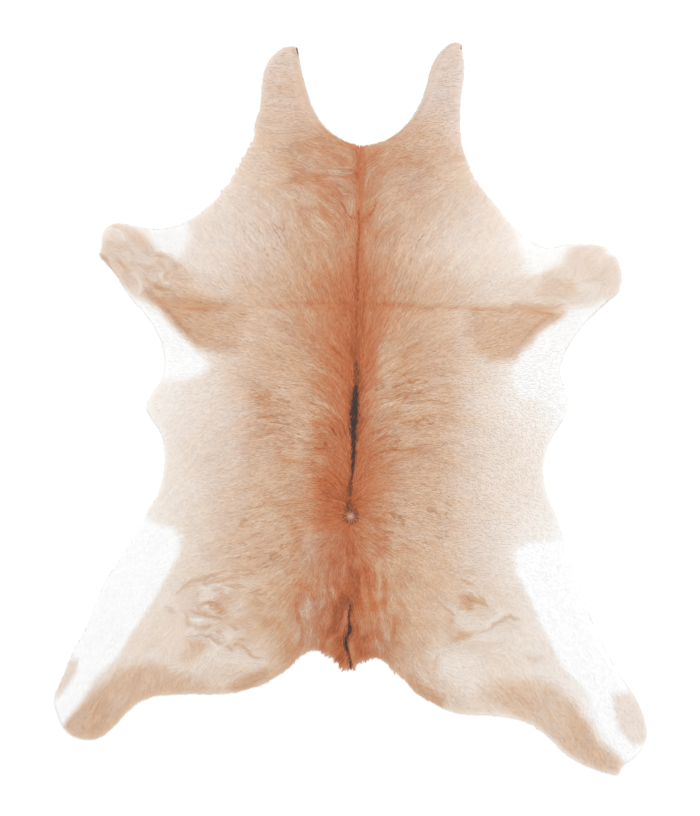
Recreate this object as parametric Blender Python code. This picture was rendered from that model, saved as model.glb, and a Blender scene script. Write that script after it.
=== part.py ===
"""A calfskin rug lying flat, hair side up.

One tanned skin with its short coat still on, trimmed round its edge. X runs across the skin,
Y from the tail to the neck, and Z up. The origin is on the floor, under the middle of the
skin's length and width.
"""

import bpy
import numpy as np
from mathutils import Vector
from mathutils.geometry import delaunay_2d_cdt

# Driving sizes in metres. The tables below are in thousandths of LENGTH, from the origin.
LENGTH = 1.000
THOUSANDTH = LENGTH / 1000

# Leather with its lying coat: the trimmed edge, the middle, and how far in it fills out.
EDGE_THICKNESS = 0.0022
MIDDLE_THICKNESS = 0.0052
FILL_OUT = 0.030

# The coat parts along the spine and sinks into the fold that crosses the skin.
PARTING_DEPTH = 0.0014
PARTING_HALF_WIDTH = 0.006
FOLD_DEPTH = 0.0016
FOLD_HALF_WIDTH = 0.007

# The skin stands a little off the floor in a swell on each side of the cross fold. Over the
# spine it has only a share of its height, and it fades over the last share of the fold's half.
SWELL_HEIGHT = 0.0030
SWELL_OFFSET = 0.042
SWELL_WIDTH = 0.020
SWELL_SHARE_AT_SPINE = 0.35
SWELL_FADE_SHARE = 0.15
FLAT_BELOW = 0.0006

# Spacing of the points that carry the surface.
RIM_STEP = 0.011
INNER_RIM = 0.009
INNER_RIM_CLEAR_SHARE = 0.9
LATTICE_STEP = 0.018
ROW_STEP = 0.016
POINTS_PER_SPAN = 24
ROOM_AT_RIM = 0.0055
ROOM_IN_ROWS = 0.0045
ROOM_IN_LATTICE = 0.011
MERGE_WITHIN = 1e-7
SHARP_ANGLE = 0.8

# The rim, clockwise from the tip of the left neck flap. Each stretch is one smooth curve
# through its points, and a corner stands where two stretches meet.
RIM = {
    "neck opening": (
        (-71, 493), (-62, 447), (-44, 397), (-17, 370), (16, 357), (50, 366),
        (80, 390), (99, 423), (112, 467), (122, 484), (133, 494), (144, 499), (151, 496),
    ),
    "right neck, foreleg and flank": (
        (151, 496), (156, 460), (151, 421), (150, 386), (153, 356), (167, 317),
        (197, 277), (229, 239), (255, 222), (270, 216), (289, 221), (322, 222),
        (345, 220), (363, 204), (370, 183), (367, 160), (341, 136), (310, 103),
        (291, 70), (286, 46), (297, 18), (296, -3), (288, -21), (271, -49), (264, -78),
        (266, -112), (279, -142), (292, -179), (311, -236), (336, -303), (368, -363),
        (395, -405), (405, -442), (401, -459), (390, -473), (371, -486),
    ),
    "end of the right hind leg": ((371, -486), (366, -500)),
    "right thigh and rump": (
        (366, -500), (339, -494), (311, -482), (293, -471), (274, -451), (252, -433),
        (231, -425), (204, -420), (178, -418), (150, -417), (110, -401), (85, -384),
        (72, -368), (54, -354), (43, -341), (32, -342), (22, -342), (8, -351), (2, -359),
    ),
    "tail, right tuft": ((2, -359), (-1, -354), (-3, -353)),
    "tail, left tuft": ((-3, -353), (-7, -357)),
    "left rump and thigh": (
        (-7, -357), (-21, -343), (-37, -333), (-48, -330), (-59, -333), (-70, -341),
        (-81, -353), (-108, -371), (-135, -383), (-180, -390), (-216, -390), (-269, -394),
        (-289, -402), (-303, -414), (-318, -431), (-333, -445), (-348, -452), (-364, -451),
        (-379, -445), (-390, -434), (-396, -417), (-402, -402), (-401, -390), (-392, -368),
        (-374, -325), (-362, -305), (-342, -256), (-333, -235), (-303, -191), (-289, -169),
        (-269, -130), (-260, -116), (-255, -99), (-251, -65), (-258, -31), (-268, -16),
        (-275, -4), (-275, 8), (-267, 22), (-255, 40), (-252, 62), (-255, 84),
        (-269, 116), (-295, 146), (-312, 170), (-328, 192), (-341, 206),
    ),
    "left foreleg and neck": (
        (-341, 206), (-336, 223), (-335, 239), (-329, 248), (-315, 251), (-290, 247),
        (-269, 243), (-236, 247), (-215, 257), (-195, 270), (-170, 297), (-157, 315),
        (-144, 341), (-129, 368), (-128, 384), (-122, 406), (-118, 447), (-113, 467), (-104, 480),
        (-86, 492),
    ),
    "left neck tip": ((-86, 492), (-71, 493)),
}

# Where the coat parts from the neck opening to the tail, and the line of the cross fold.
SPINE = ((15, 354), (16, 282), (12, 139), (9, 37), (3, -85), (1, -146), (-2, -262), (1, -346))
CROSS_FOLD = ((-262, 143), (-187, 136), (-95, 137), (9, 139), (122, 134), (195, 136), (283, 131))

# Places that stand off the floor: centre x and y, reach, height in metres at the centre. The
# bell curve of each spreads over a share of its reach.
BELL_SHARE = 0.6
LIFTED_PLACES = {
    "left neck tip": (-88, 500, 62, 0.0070),
    "right neck tip": (150, 500, 58, 0.0060),
    "left foreleg end": (-345, 232, 55, 0.0050),
    "right foreleg, lower edge": (368, 165, 60, 0.0060),
    "left belly": (-290, 2, 34, 0.0050),
    "right belly": (310, 4, 34, 0.0050),
    "left hind leg end": (-405, -430, 60, 0.0045),
    "right hind leg end": (392, -505, 58, 0.0055),
    "tail": (0, -372, 30, 0.0030),
}

SKIN_COLOUR = (0.62, 0.40, 0.27, 1.0)
SKIN_ROUGHNESS = 0.85


def clear_scene():
    """Removes every object of the open scene."""
    for thing in list(bpy.data.objects):
        bpy.data.objects.remove(thing, do_unlink=True)


def even_points(line, step):
    """Points about step apart along a line of points, both ends kept."""
    pace = np.linalg.norm(np.diff(line, axis=0), axis=1)
    travelled = np.concatenate([[0.0], np.cumsum(pace)])
    count = max(2, int(round(travelled[-1] / step)) + 1)
    stops = np.linspace(0.0, travelled[-1], count)
    return np.column_stack([np.interp(stops, travelled, line[:, axis]) for axis in (0, 1)])


def smooth_line(points, step):
    """A smooth curve through points given in thousandths, as even points about step metres apart.

    Between two points p and q it is the cubic that leaves p and reaches q along the tangents
    there. The knots are spaced by the square root of the distance between points, and a
    tangent weighs the slopes on both sides, so that the curve doesn't loop or overshoot.
    """
    marks = np.array(points, float) * THOUSANDTH
    span = np.linalg.norm(np.diff(marks, axis=0), axis=1)[:, None] ** 0.5
    slope = np.diff(marks, axis=0) / span
    bend = (slope[:-1] * span[1:] + slope[1:] * span[:-1]) / (span[:-1] + span[1:])
    tangent = np.vstack([slope[:1], bend, slope[-1:]])
    u = np.linspace(0.0, 1.0, POINTS_PER_SPAN)[None, :, None]
    p, q = marks[:-1, None], marks[1:, None]
    leave, reach = (span * tangent[:-1])[:, None], (span * tangent[1:])[:, None]
    curve = (2 * u**3 - 3 * u**2 + 1) * p + (u**3 - 2 * u**2 + u) * leave
    curve = curve + (3 * u**2 - 2 * u**3) * q + (u**3 - u**2) * reach
    return even_points(curve.reshape(-1, 2), step)


def rim_loop():
    """The closed rim, clockwise, without its last point, which is the first again."""
    return np.vstack([smooth_line(stretch, RIM_STEP)[:-1] for stretch in RIM.values()])


def distance_to(places, line, closed=False):
    """The distance of each place from a line of points, and how far along the line it is, 0 to 1."""
    starts = line if closed else line[:-1]
    ends = np.roll(line, -1, axis=0) if closed else line[1:]
    span = ends - starts
    away = places[:, None, :] - starts[None, :, :]
    share = (away * span).sum(2) / (span * span).sum(1)
    share = np.clip(share, 0.0, 1.0)
    gap = np.linalg.norm(away - share[:, :, None] * span, axis=2)
    nearest = gap.argmin(1)
    pick = np.arange(len(places))
    return gap[pick, nearest], (nearest + share[pick, nearest]) / len(starts)


def inside(places, loop):
    """True for each place inside a closed loop: a ray to the right crosses it an odd number of times."""
    x, y = places[:, 0, None], places[:, 1, None]
    ahead = np.roll(loop, -1, axis=0)
    straddles = (loop[:, 1] > y) != (ahead[:, 1] > y)
    rise = np.where(ahead[:, 1] == loop[:, 1], 1.0, ahead[:, 1] - loop[:, 1])
    crossing = loop[:, 0] + (y - loop[:, 1]) * (ahead[:, 0] - loop[:, 0]) / rise
    return (straddles & (x < crossing)).sum(1) % 2 == 1


def beside(line, offset):
    """The line moved sideways by offset, to its left seen from above."""
    along = np.gradient(line, axis=0)
    along /= np.linalg.norm(along, axis=1)[:, None]
    return line + offset * np.column_stack([-along[:, 1], along[:, 0]])


def inner_rim(loop):
    """The loop moved inwards, without the points that crowd another part of the rim."""
    around = np.roll(loop, -1, axis=0) - np.roll(loop, 1, axis=0)
    around /= np.linalg.norm(around, axis=1)[:, None]
    moved = loop + INNER_RIM * np.column_stack([around[:, 1], -around[:, 0]])
    clear = distance_to(moved, loop, closed=True)[0] > INNER_RIM_CLEAR_SHARE * INNER_RIM
    return moved[clear & inside(moved, loop)]


def lattice(loop):
    """Points of a triangular lattice over the whole skin."""
    low, high = loop.min(0), loop.max(0)
    row_height = LATTICE_STEP * 0.75 ** 0.5
    rows = []
    for number, y in enumerate(np.arange(low[1], high[1], row_height)):
        x = np.arange(low[0] + (number % 2) * LATTICE_STEP / 2, high[0], LATTICE_STEP)
        rows.append(np.column_stack([x, np.full(len(x), y)]))
    return np.vstack(rows)


def with_room(kept, group, room, loop):
    """The points kept so far and those of a group that lie inside the rim and keep their distance."""
    gap = np.linalg.norm(group[:, None, :] - kept[None, :, :], axis=2).min(1)
    off_rim = distance_to(group, loop, closed=True)[0] > ROOM_AT_RIM
    return np.vstack([kept, group[(gap > room) & off_rim & inside(group, loop)]])


def surface_points(loop, spine, fold):
    """The rim first, then the inner rim, three rows along each groove, and the lattice between."""
    places = np.vstack([loop, inner_rim(loop)])
    for line, half_width in ((spine, PARTING_HALF_WIDTH), (fold, FOLD_HALF_WIDTH)):
        for side in (-1, 0, 1):
            places = with_room(places, beside(line, side * half_width), ROOM_IN_ROWS, loop)
    return with_room(places, lattice(loop), ROOM_IN_LATTICE, loop)


def swell_beside_fold(places, fold):
    """Two low swells along the fold, one each side, strongest towards the flanks.

    Each is a bell curve across the fold, centred SWELL_OFFSET from it, times a factor that
    grows from a share over the spine towards one, and falls to nothing at the fold's ends.
    """
    gap, share = distance_to(places, fold)
    bell = np.exp(-0.5 * ((gap - SWELL_OFFSET) / SWELL_WIDTH) ** 2)
    outward = np.abs(2 * share - 1)
    growth = SWELL_SHARE_AT_SPINE + (1 - SWELL_SHARE_AT_SPINE) * outward
    fade = np.clip((1 - outward) / SWELL_FADE_SHARE, 0.0, 1.0)
    return SWELL_HEIGHT * bell * growth * fade * fade * (3 - 2 * fade)


def floor_gap(places, fold):
    """How far the underside stands off the floor at each place: the highest of all the lifts.

    A lifted place is a bell curve of its own reach. What is less than FLAT_BELOW lies flat.
    """
    gap = swell_beside_fold(places, fold)
    for x, y, reach, height in LIFTED_PLACES.values():
        far = np.linalg.norm(places - np.array([x, y]) * THOUSANDTH, axis=1)
        spread = BELL_SHARE * reach * THOUSANDTH
        gap = np.maximum(gap, height * np.exp(-0.5 * (far / spread) ** 2))
    return np.maximum(gap - FLAT_BELOW, 0.0)


def thickness(places, loop, spine, fold):
    """Leather and coat together: it fills out from the edge, less the parting and the fold."""
    inward = np.clip(distance_to(places, loop, closed=True)[0] / FILL_OUT, 0.0, 1.0)
    full = EDGE_THICKNESS + (MIDDLE_THICKNESS - EDGE_THICKNESS) * inward * (2 - inward)
    for line, depth, half_width in (
        (spine, PARTING_DEPTH, PARTING_HALF_WIDTH),
        (fold, FOLD_DEPTH, FOLD_HALF_WIDTH),
    ):
        across = distance_to(places, line)[0] / half_width
        full -= depth * np.clip(1 - across, 0.0, 1.0) * inward
    return full


def make_skin():
    """The whole skin as one closed sheet: an underside, a hair side and the trimmed edge."""
    loop = rim_loop()
    spine = smooth_line(SPINE, ROW_STEP)
    fold = smooth_line(CROSS_FOLD, ROW_STEP)
    places = surface_points(loop, spine, fold)
    rim_edges = [(i, (i + 1) % len(loop)) for i in range(len(loop))]
    flat = delaunay_2d_cdt([Vector(p) for p in places], rim_edges, [], 1, MERGE_WITHIN)
    places = np.array([tuple(p) for p in flat[0]])
    hair_side = np.array(flat[2], int)
    a, b, c = (places[hair_side[:, k]] for k in range(3))
    turn = (b[:, 0] - a[:, 0]) * (c[:, 1] - a[:, 1]) - (b[:, 1] - a[:, 1]) * (c[:, 0] - a[:, 0])
    hair_side[turn < 0] = hair_side[turn < 0][:, ::-1]

    below = floor_gap(places, fold)
    above = below + thickness(places, loop, spine, fold)
    places = places - (loop.min(0) + loop.max(0)) / 2
    points = np.vstack([np.column_stack([places, below]), np.column_stack([places, above])])
    count = len(places)
    ways = {(int(p), int(q)) for face in hair_side for p, q in zip(face, np.roll(face, -1))}
    faces = [tuple(int(v) for v in face[::-1]) for face in hair_side]
    faces += [tuple(int(v) + count for v in face) for face in hair_side]
    faces += [(p, q, q + count, p + count) for p, q in sorted(ways) if (q, p) not in ways]

    mesh = bpy.data.meshes.new("calfskin")
    mesh.from_pydata([tuple(p) for p in points], [], faces)
    mesh.materials.append(skin_material())
    mesh.shade_smooth()
    mesh.set_sharp_from_angle(angle=SHARP_ANGLE)
    skin = bpy.data.objects.new("calfskin", mesh)
    bpy.context.scene.collection.objects.link(skin)
    return skin


def skin_material():
    """The tan of the coat, matt."""
    material = bpy.data.materials.new("short coat")
    material.use_nodes = True
    shader = material.node_tree.nodes["Principled BSDF"]
    shader.inputs["Base Color"].default_value = SKIN_COLOUR
    shader.inputs["Roughness"].default_value = SKIN_ROUGHNESS
    shader.inputs["Metallic"].default_value = 0.0
    return material


clear_scene()
make_skin()
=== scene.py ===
"""A calfskin rug on a pale studio floor, hair side up, seen from straight above."""

import bpy
import numpy as np
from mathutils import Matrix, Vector
from mathutils.geometry import delaunay_2d_cdt


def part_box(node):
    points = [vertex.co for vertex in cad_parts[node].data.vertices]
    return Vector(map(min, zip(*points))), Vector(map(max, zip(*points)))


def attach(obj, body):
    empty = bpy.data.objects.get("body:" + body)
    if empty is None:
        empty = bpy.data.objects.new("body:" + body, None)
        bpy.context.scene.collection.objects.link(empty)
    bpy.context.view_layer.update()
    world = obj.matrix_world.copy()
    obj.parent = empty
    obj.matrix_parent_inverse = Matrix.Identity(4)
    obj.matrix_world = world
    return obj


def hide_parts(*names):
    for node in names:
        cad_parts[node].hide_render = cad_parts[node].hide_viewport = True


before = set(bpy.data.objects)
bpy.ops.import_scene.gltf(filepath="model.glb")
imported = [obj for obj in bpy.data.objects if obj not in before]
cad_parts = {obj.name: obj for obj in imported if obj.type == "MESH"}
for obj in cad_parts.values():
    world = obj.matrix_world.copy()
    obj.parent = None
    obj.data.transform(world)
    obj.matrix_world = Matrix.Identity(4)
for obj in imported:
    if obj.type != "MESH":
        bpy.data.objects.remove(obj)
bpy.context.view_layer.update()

# Studio. The camera hangs straight above the rug with the neck at the top of the picture, and
# a wide soft light and a pale room stand over a pale matt floor.
MM = 0.001
PICTURE_PIXELS = (700, 816)
MM_PER_PIXEL = 1.3605
PICTURE_MIDDLE = (-1.02 * MM, 0.17 * MM)
COAT_LEVEL = 6 * MM
LENS_MM = 85
SENSOR_MM = 36
FLOOR_LEVEL = -0.4 * MM
FLOOR_HALF_WIDTH = 4.0
FLOOR_WHITE = 0.95
FLOOR_ROUGHNESS = 0.9
FLOOR_GLOW = 0.08
LAMP_PLACE = (0.5, 1.2, 3.4)
LAMP_SIZE = 2.4
LAMP_WATTS = 75
ROOM_STRENGTH = 0.66


def placed(name, data):
    """A new object with the given data, linked into the scene."""
    thing = bpy.data.objects.new(name, data)
    bpy.context.scene.collection.objects.link(thing)
    return thing


def camera_above():
    """Hangs as high as makes the taller side of the sensor take in the picture's height."""
    shown_height = PICTURE_PIXELS[1] * MM_PER_PIXEL * MM
    data = bpy.data.cameras.new("camera above")
    data.lens = LENS_MM
    data.sensor_width = SENSOR_MM
    camera = placed("camera above", data)
    camera.location = (*PICTURE_MIDDLE, COAT_LEVEL + shown_height * LENS_MM / SENSOR_MM)
    bpy.context.scene.camera = camera


def soft_light(name, place, size, power, aim=(0.0, 0.0, 0.0)):
    """A square lamp at a place, facing the aim."""
    data = bpy.data.lights.new(name, "AREA")
    data.size = size
    data.energy = power
    lamp = placed(name, data)
    lamp.location = place
    lamp.rotation_euler = (Vector(aim) - Vector(place)).to_track_quat("-Z", "Y").to_euler()


def pale_room(strength):
    """The same white light from every side."""
    world = bpy.data.worlds.new("pale room")
    world.use_nodes = True
    background = world.node_tree.nodes["Background"]
    background.inputs["Color"].default_value = (1.0, 1.0, 1.0, 1.0)
    background.inputs["Strength"].default_value = strength
    bpy.context.scene.world = world


def studio_floor():
    """One flat square, a hair's breadth under the rug."""
    reach = FLOOR_HALF_WIDTH
    mesh = bpy.data.meshes.new("studio_floor")
    corners = [(-reach, -reach), (reach, -reach), (reach, reach), (-reach, reach)]
    mesh.from_pydata([(x, y, FLOOR_LEVEL) for x, y in corners], [], [(0, 1, 2, 3)])
    material = bpy.data.materials.new("white floor")
    material.use_nodes = True
    shader = material.node_tree.nodes["Principled BSDF"]
    shader.inputs["Base Color"].default_value = (FLOOR_WHITE, FLOOR_WHITE, FLOOR_WHITE, 1.0)
    shader.inputs["Roughness"].default_value = FLOOR_ROUGHNESS
    shader.inputs["Emission Color"].default_value = (1.0, 1.0, 1.0, 1.0)
    shader.inputs["Emission Strength"].default_value = FLOOR_GLOW
    mesh.materials.append(material)
    placed("studio_floor", mesh)


camera_above()
soft_light("overhead light", LAMP_PLACE, LAMP_SIZE, LAMP_WATTS)
pale_room(ROOM_STRENGTH)
studio_floor()
bpy.context.scene.view_settings.view_transform = "Standard"

# The survey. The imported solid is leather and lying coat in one. A flat net lowered onto it and
# another raised under it give the height of both faces, and its upper face gives the rim.
SURVEY_STEP = 2.5 * MM
SURVEY_MARGIN = 30 * MM
SURVEY_START = 80 * MM
# A place at the far side of a net is read a little short of its last point.
SHORT_OF_LAST = 1.001
SAME_HEIGHT = 1e-6
SAME_PLACE_DECIMALS = 6
FILL_ROUNDS = 14
BLUR_ROUNDS = 3
UPWARDS_SHARE = 0.5
PAIRS_AT_ONCE = 4000000


def net_over_skin(step):
    """Places about a step apart over the skin's box and a margin round it, as two arrays."""
    low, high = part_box("calfskin")
    spans = [(low[axis] - SURVEY_MARGIN, high[axis] + SURVEY_MARGIN) for axis in (0, 1)]
    rows = [np.linspace(a, b, int(round((b - a) / step)) + 1) for a, b in spans]
    return np.meshgrid(*rows)


def blended(net, r, up, v, c, right, u):
    """Between the rows r and up of a net by the share v, and the columns c and right by u."""
    low = net[r, c] * (1 - u) + net[r, right] * u
    high = net[up, c] * (1 - u) + net[up, right] * u
    return low * (1 - v) + high * v


def read_net(net, x, y):
    """The value at each place of a net over the skin, blended between its four nearest points."""
    low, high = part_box("calfskin")
    column = (x - low.x + SURVEY_MARGIN) / (high.x - low.x + 2 * SURVEY_MARGIN) * (net.shape[1] - 1)
    row = (y - low.y + SURVEY_MARGIN) / (high.y - low.y + 2 * SURVEY_MARGIN) * (net.shape[0] - 1)
    column = np.clip(column, 0, net.shape[1] - SHORT_OF_LAST)
    row = np.clip(row, 0, net.shape[0] - SHORT_OF_LAST)
    c, r = column.astype(int), row.astype(int)
    return blended(net, r, r + 1, row - r, c, c + 1, column - c)


def net_against_solid(solid, x, y, start, downwards):
    """Projects a flat net of points onto the solid along Z and returns their heights.

    A point that finds no solid stays at the height it started from, and has none.
    """
    rows, columns = x.shape
    points = np.stack([x, y, np.full_like(x, start)], axis=2).reshape(-1, 3)
    corner = (np.arange(rows - 1)[:, None] * columns + np.arange(columns - 1)).ravel()
    quads = np.column_stack([corner, corner + 1, corner + columns + 1, corner + columns])
    mesh = bpy.data.meshes.new("survey net")
    mesh.from_pydata(points, [], quads)
    net = placed("survey net", mesh)
    wrap = net.modifiers.new("project", "SHRINKWRAP")
    wrap.wrap_method = "PROJECT"
    wrap.use_project_z = True
    wrap.use_negative_direction = downwards
    wrap.use_positive_direction = not downwards
    wrap.target = solid
    found = net.evaluated_get(bpy.context.evaluated_depsgraph_get()).to_mesh()
    landed = np.empty(len(points) * 3, np.float32)
    found.vertices.foreach_get("co", landed)
    bpy.data.objects.remove(net)
    bpy.data.meshes.remove(mesh)
    height = landed.reshape(rows, columns, 3)[:, :, 2].astype(float)
    return np.where(np.abs(height - start) < SAME_HEIGHT, np.nan, height)


def spread_and_smooth(height):
    """Fills the net outside the skin with the mean of its filled neighbours, round by round.

    Then it is blurred: each point becomes half itself and half the mean of its four neighbours.
    """
    shifts = [(0, 1), (0, -1), (1, 0), (-1, 0)]
    for _ in range(FILL_ROUNDS):
        near = np.array([np.roll(height, shift, axis=(0, 1)) for shift in shifts])
        known = ~np.isnan(near)
        mean = np.where(known, near, 0).sum(0) / np.maximum(known.sum(0), 1)
        height = np.where(np.isnan(height) & known.any(0), mean, height)
    height = np.nan_to_num(height)
    for _ in range(BLUR_ROUNDS):
        height = (height * 4 + sum(np.roll(height, shift, axis=(0, 1)) for shift in shifts)) / 8
    return height


def rim_of(solid):
    """The sides of the upper face that only one of its triangles has, and their points.

    A triangle is of the upper face if it points upwards by more than a set share. The sides run
    anticlockwise, so that the skin lies to the left of each.
    """
    mesh = solid.data
    mesh.calc_loop_triangles()
    corners = np.empty(len(mesh.vertices) * 3, np.float32)
    mesh.vertices.foreach_get("co", corners)
    triangles = np.empty(len(mesh.loop_triangles) * 3, np.int32)
    mesh.loop_triangles.foreach_get("vertices", triangles)
    rounded = np.round(corners.reshape(-1, 3), SAME_PLACE_DECIMALS)
    places, index = np.unique(rounded, axis=0, return_inverse=True)
    triangles = index.reshape(-1)[triangles].reshape(-1, 3)
    a, b, c = (places[triangles[:, k]] for k in range(3))
    facing = np.cross(b - a, c - a)
    upper = triangles[facing[:, 2] > UPWARDS_SHARE * np.linalg.norm(facing, axis=1)]
    return places[:, :2], lone_sides(upper)


def lone_sides(triangles):
    """The sides that only one triangle has, each in that triangle's own direction."""
    sides = np.concatenate([triangles[:, [0, 1]], triangles[:, [1, 2]], triangles[:, [2, 0]]])
    _, first, count = np.unique(np.sort(sides, axis=1), axis=0, return_index=True, return_counts=True)
    return sides[first[count == 1]]


def past_outline(x, y, starts, ends):
    """How far each place lies outside a closed outline, less than 0 inside it, in slices.

    The distance is that to the nearest side. A place is inside if a ray to its right crosses
    the outline an odd number of times.
    """
    span = ends - starts
    steep = np.where(span[:, 1] == 0, 1.0, span[:, 1])
    result = np.empty(x.size)
    flat_x, flat_y = x.ravel(), y.ravel()
    for part in np.array_split(np.arange(x.size), max(1, x.size * len(span) // PAIRS_AT_ONCE)):
        px, py = flat_x[part, None], flat_y[part, None]
        share = ((px - starts[:, 0]) * span[:, 0] + (py - starts[:, 1]) * span[:, 1]) / (span**2).sum(1)
        share = np.clip(share, 0.0, 1.0)
        gap = np.hypot(px - starts[:, 0] - share * span[:, 0], py - starts[:, 1] - share * span[:, 1])
        straddles = (starts[:, 1] > py) != (ends[:, 1] > py)
        crossing = starts[:, 0] + (py - starts[:, 1]) * span[:, 0] / steep
        inside = (straddles & (px < crossing)).sum(1) % 2 == 1
        result[part] = np.where(inside, -1.0, 1.0) * gap.min(1)
    return result.reshape(x.shape)


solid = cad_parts["calfskin"]
low_corner, high_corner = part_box("calfskin")
net_x, net_y = net_over_skin(SURVEY_STEP)
rim_points, rim_sides = rim_of(solid)
coat_top = spread_and_smooth(net_against_solid(solid, net_x, net_y, SURVEY_START, True))
underside = spread_and_smooth(net_against_solid(solid, net_x, net_y, -SURVEY_START, False))
past_rim = past_outline(net_x, net_y, rim_points[rim_sides[:, 0]], rim_points[rim_sides[:, 1]])

# Lay of the hair. A calf's short coat lies flat, away from the spine: towards the head over
# the shoulders, straight out over the ribs, and towards the tail over the rump. On the legs,
# the hips and the neck it curls, and there the hair follows the curl.
SPINE_MM = (
    (515, 22), (355, 13), (283, 14), (140, 10), (38, 7), (-84, 1), (-145, -1), (-261, -4), (-345, -1),
)
LAY_DISTANCE_MM = (0, 40, 80, 150, 205, 300, 400)
LAY_RISE_DEGREES = {
    500: (60, 5, 5, 5, 5, 5, 5),
    338: (60, 15, 15, 15, 15, 15, 15),
    304: (75, 24, 30, 36, 36, 36, 36),
    270: (80, 37, 50, 45, 45, 41, 41),
    236: (82, 60, 59, 50, 50, 41, 41),
    202: (84, 63, 58, 50, 40, 38, 38),
    168: (85, 70, 57, 42, 25, 35, 35),
    134: (85, 68, 50, 12, 12, 25, 30),
    100: (85, 60, 40, 16, 22, 20, 20),
    66: (82, 33, 23, 2, -5, -8, -8),
    32: (80, 26, 15, -5, -14, -20, -20),
    -2: (80, 26, 16, -15, -30, -45, -45),
    -70: (80, 10, 0, -20, -35, -85, -85),
    -105: (75, 5, -8, -16, -30, -70, -70),
    -139: (30, -5, -14, -14, -25, -55, -60),
    -152: (-40, -10, -18, -14, -22, -50, -60),
    -173: (-75, -20, -22, -14, -12, -45, -60),
    -207: (-82, -40, -30, -18, -17, -48, -60),
    -241: (-88, -80, -50, -20, -25, -52, -60),
    -309: (-85, -75, -55, -20, -40, -56, -60),
    -343: (-80, -60, -60, -30, -50, -58, -62),
    -500: (-80, -60, -60, -45, -50, -58, -68),
}
# Noise repeats after this many cells. Each kind of it is the size of its cells and its seed.
NOISE_CELLS = 256
RUFFLE_DEGREES = 11
RUFFLE_NOISE = (17 * MM, 3)
FINE_RUFFLE_DEGREES = 12
FINE_RUFFLE_NOISE = (7 * MM, 5)
CURL_DEGREES = 60
CURL_NOISE = (21 * MM, 4)
# Where the coat curls: across, along, reach and strength.
CURLY_PLACES_MM = {
    "left hip": (-190, -285, 62, 1.0),
    "right hip": (175, -290, 58, 0.8),
    "left thigh": (-250, -350, 50, 0.6),
    "tail": (0, -290, 85, 0.8),
    "left foreleg": (-275, 190, 48, 1.0),
    "right foreleg": (300, 172, 50, 0.9),
    "neck": (-35, 300, 80, 0.6),
}
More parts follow.
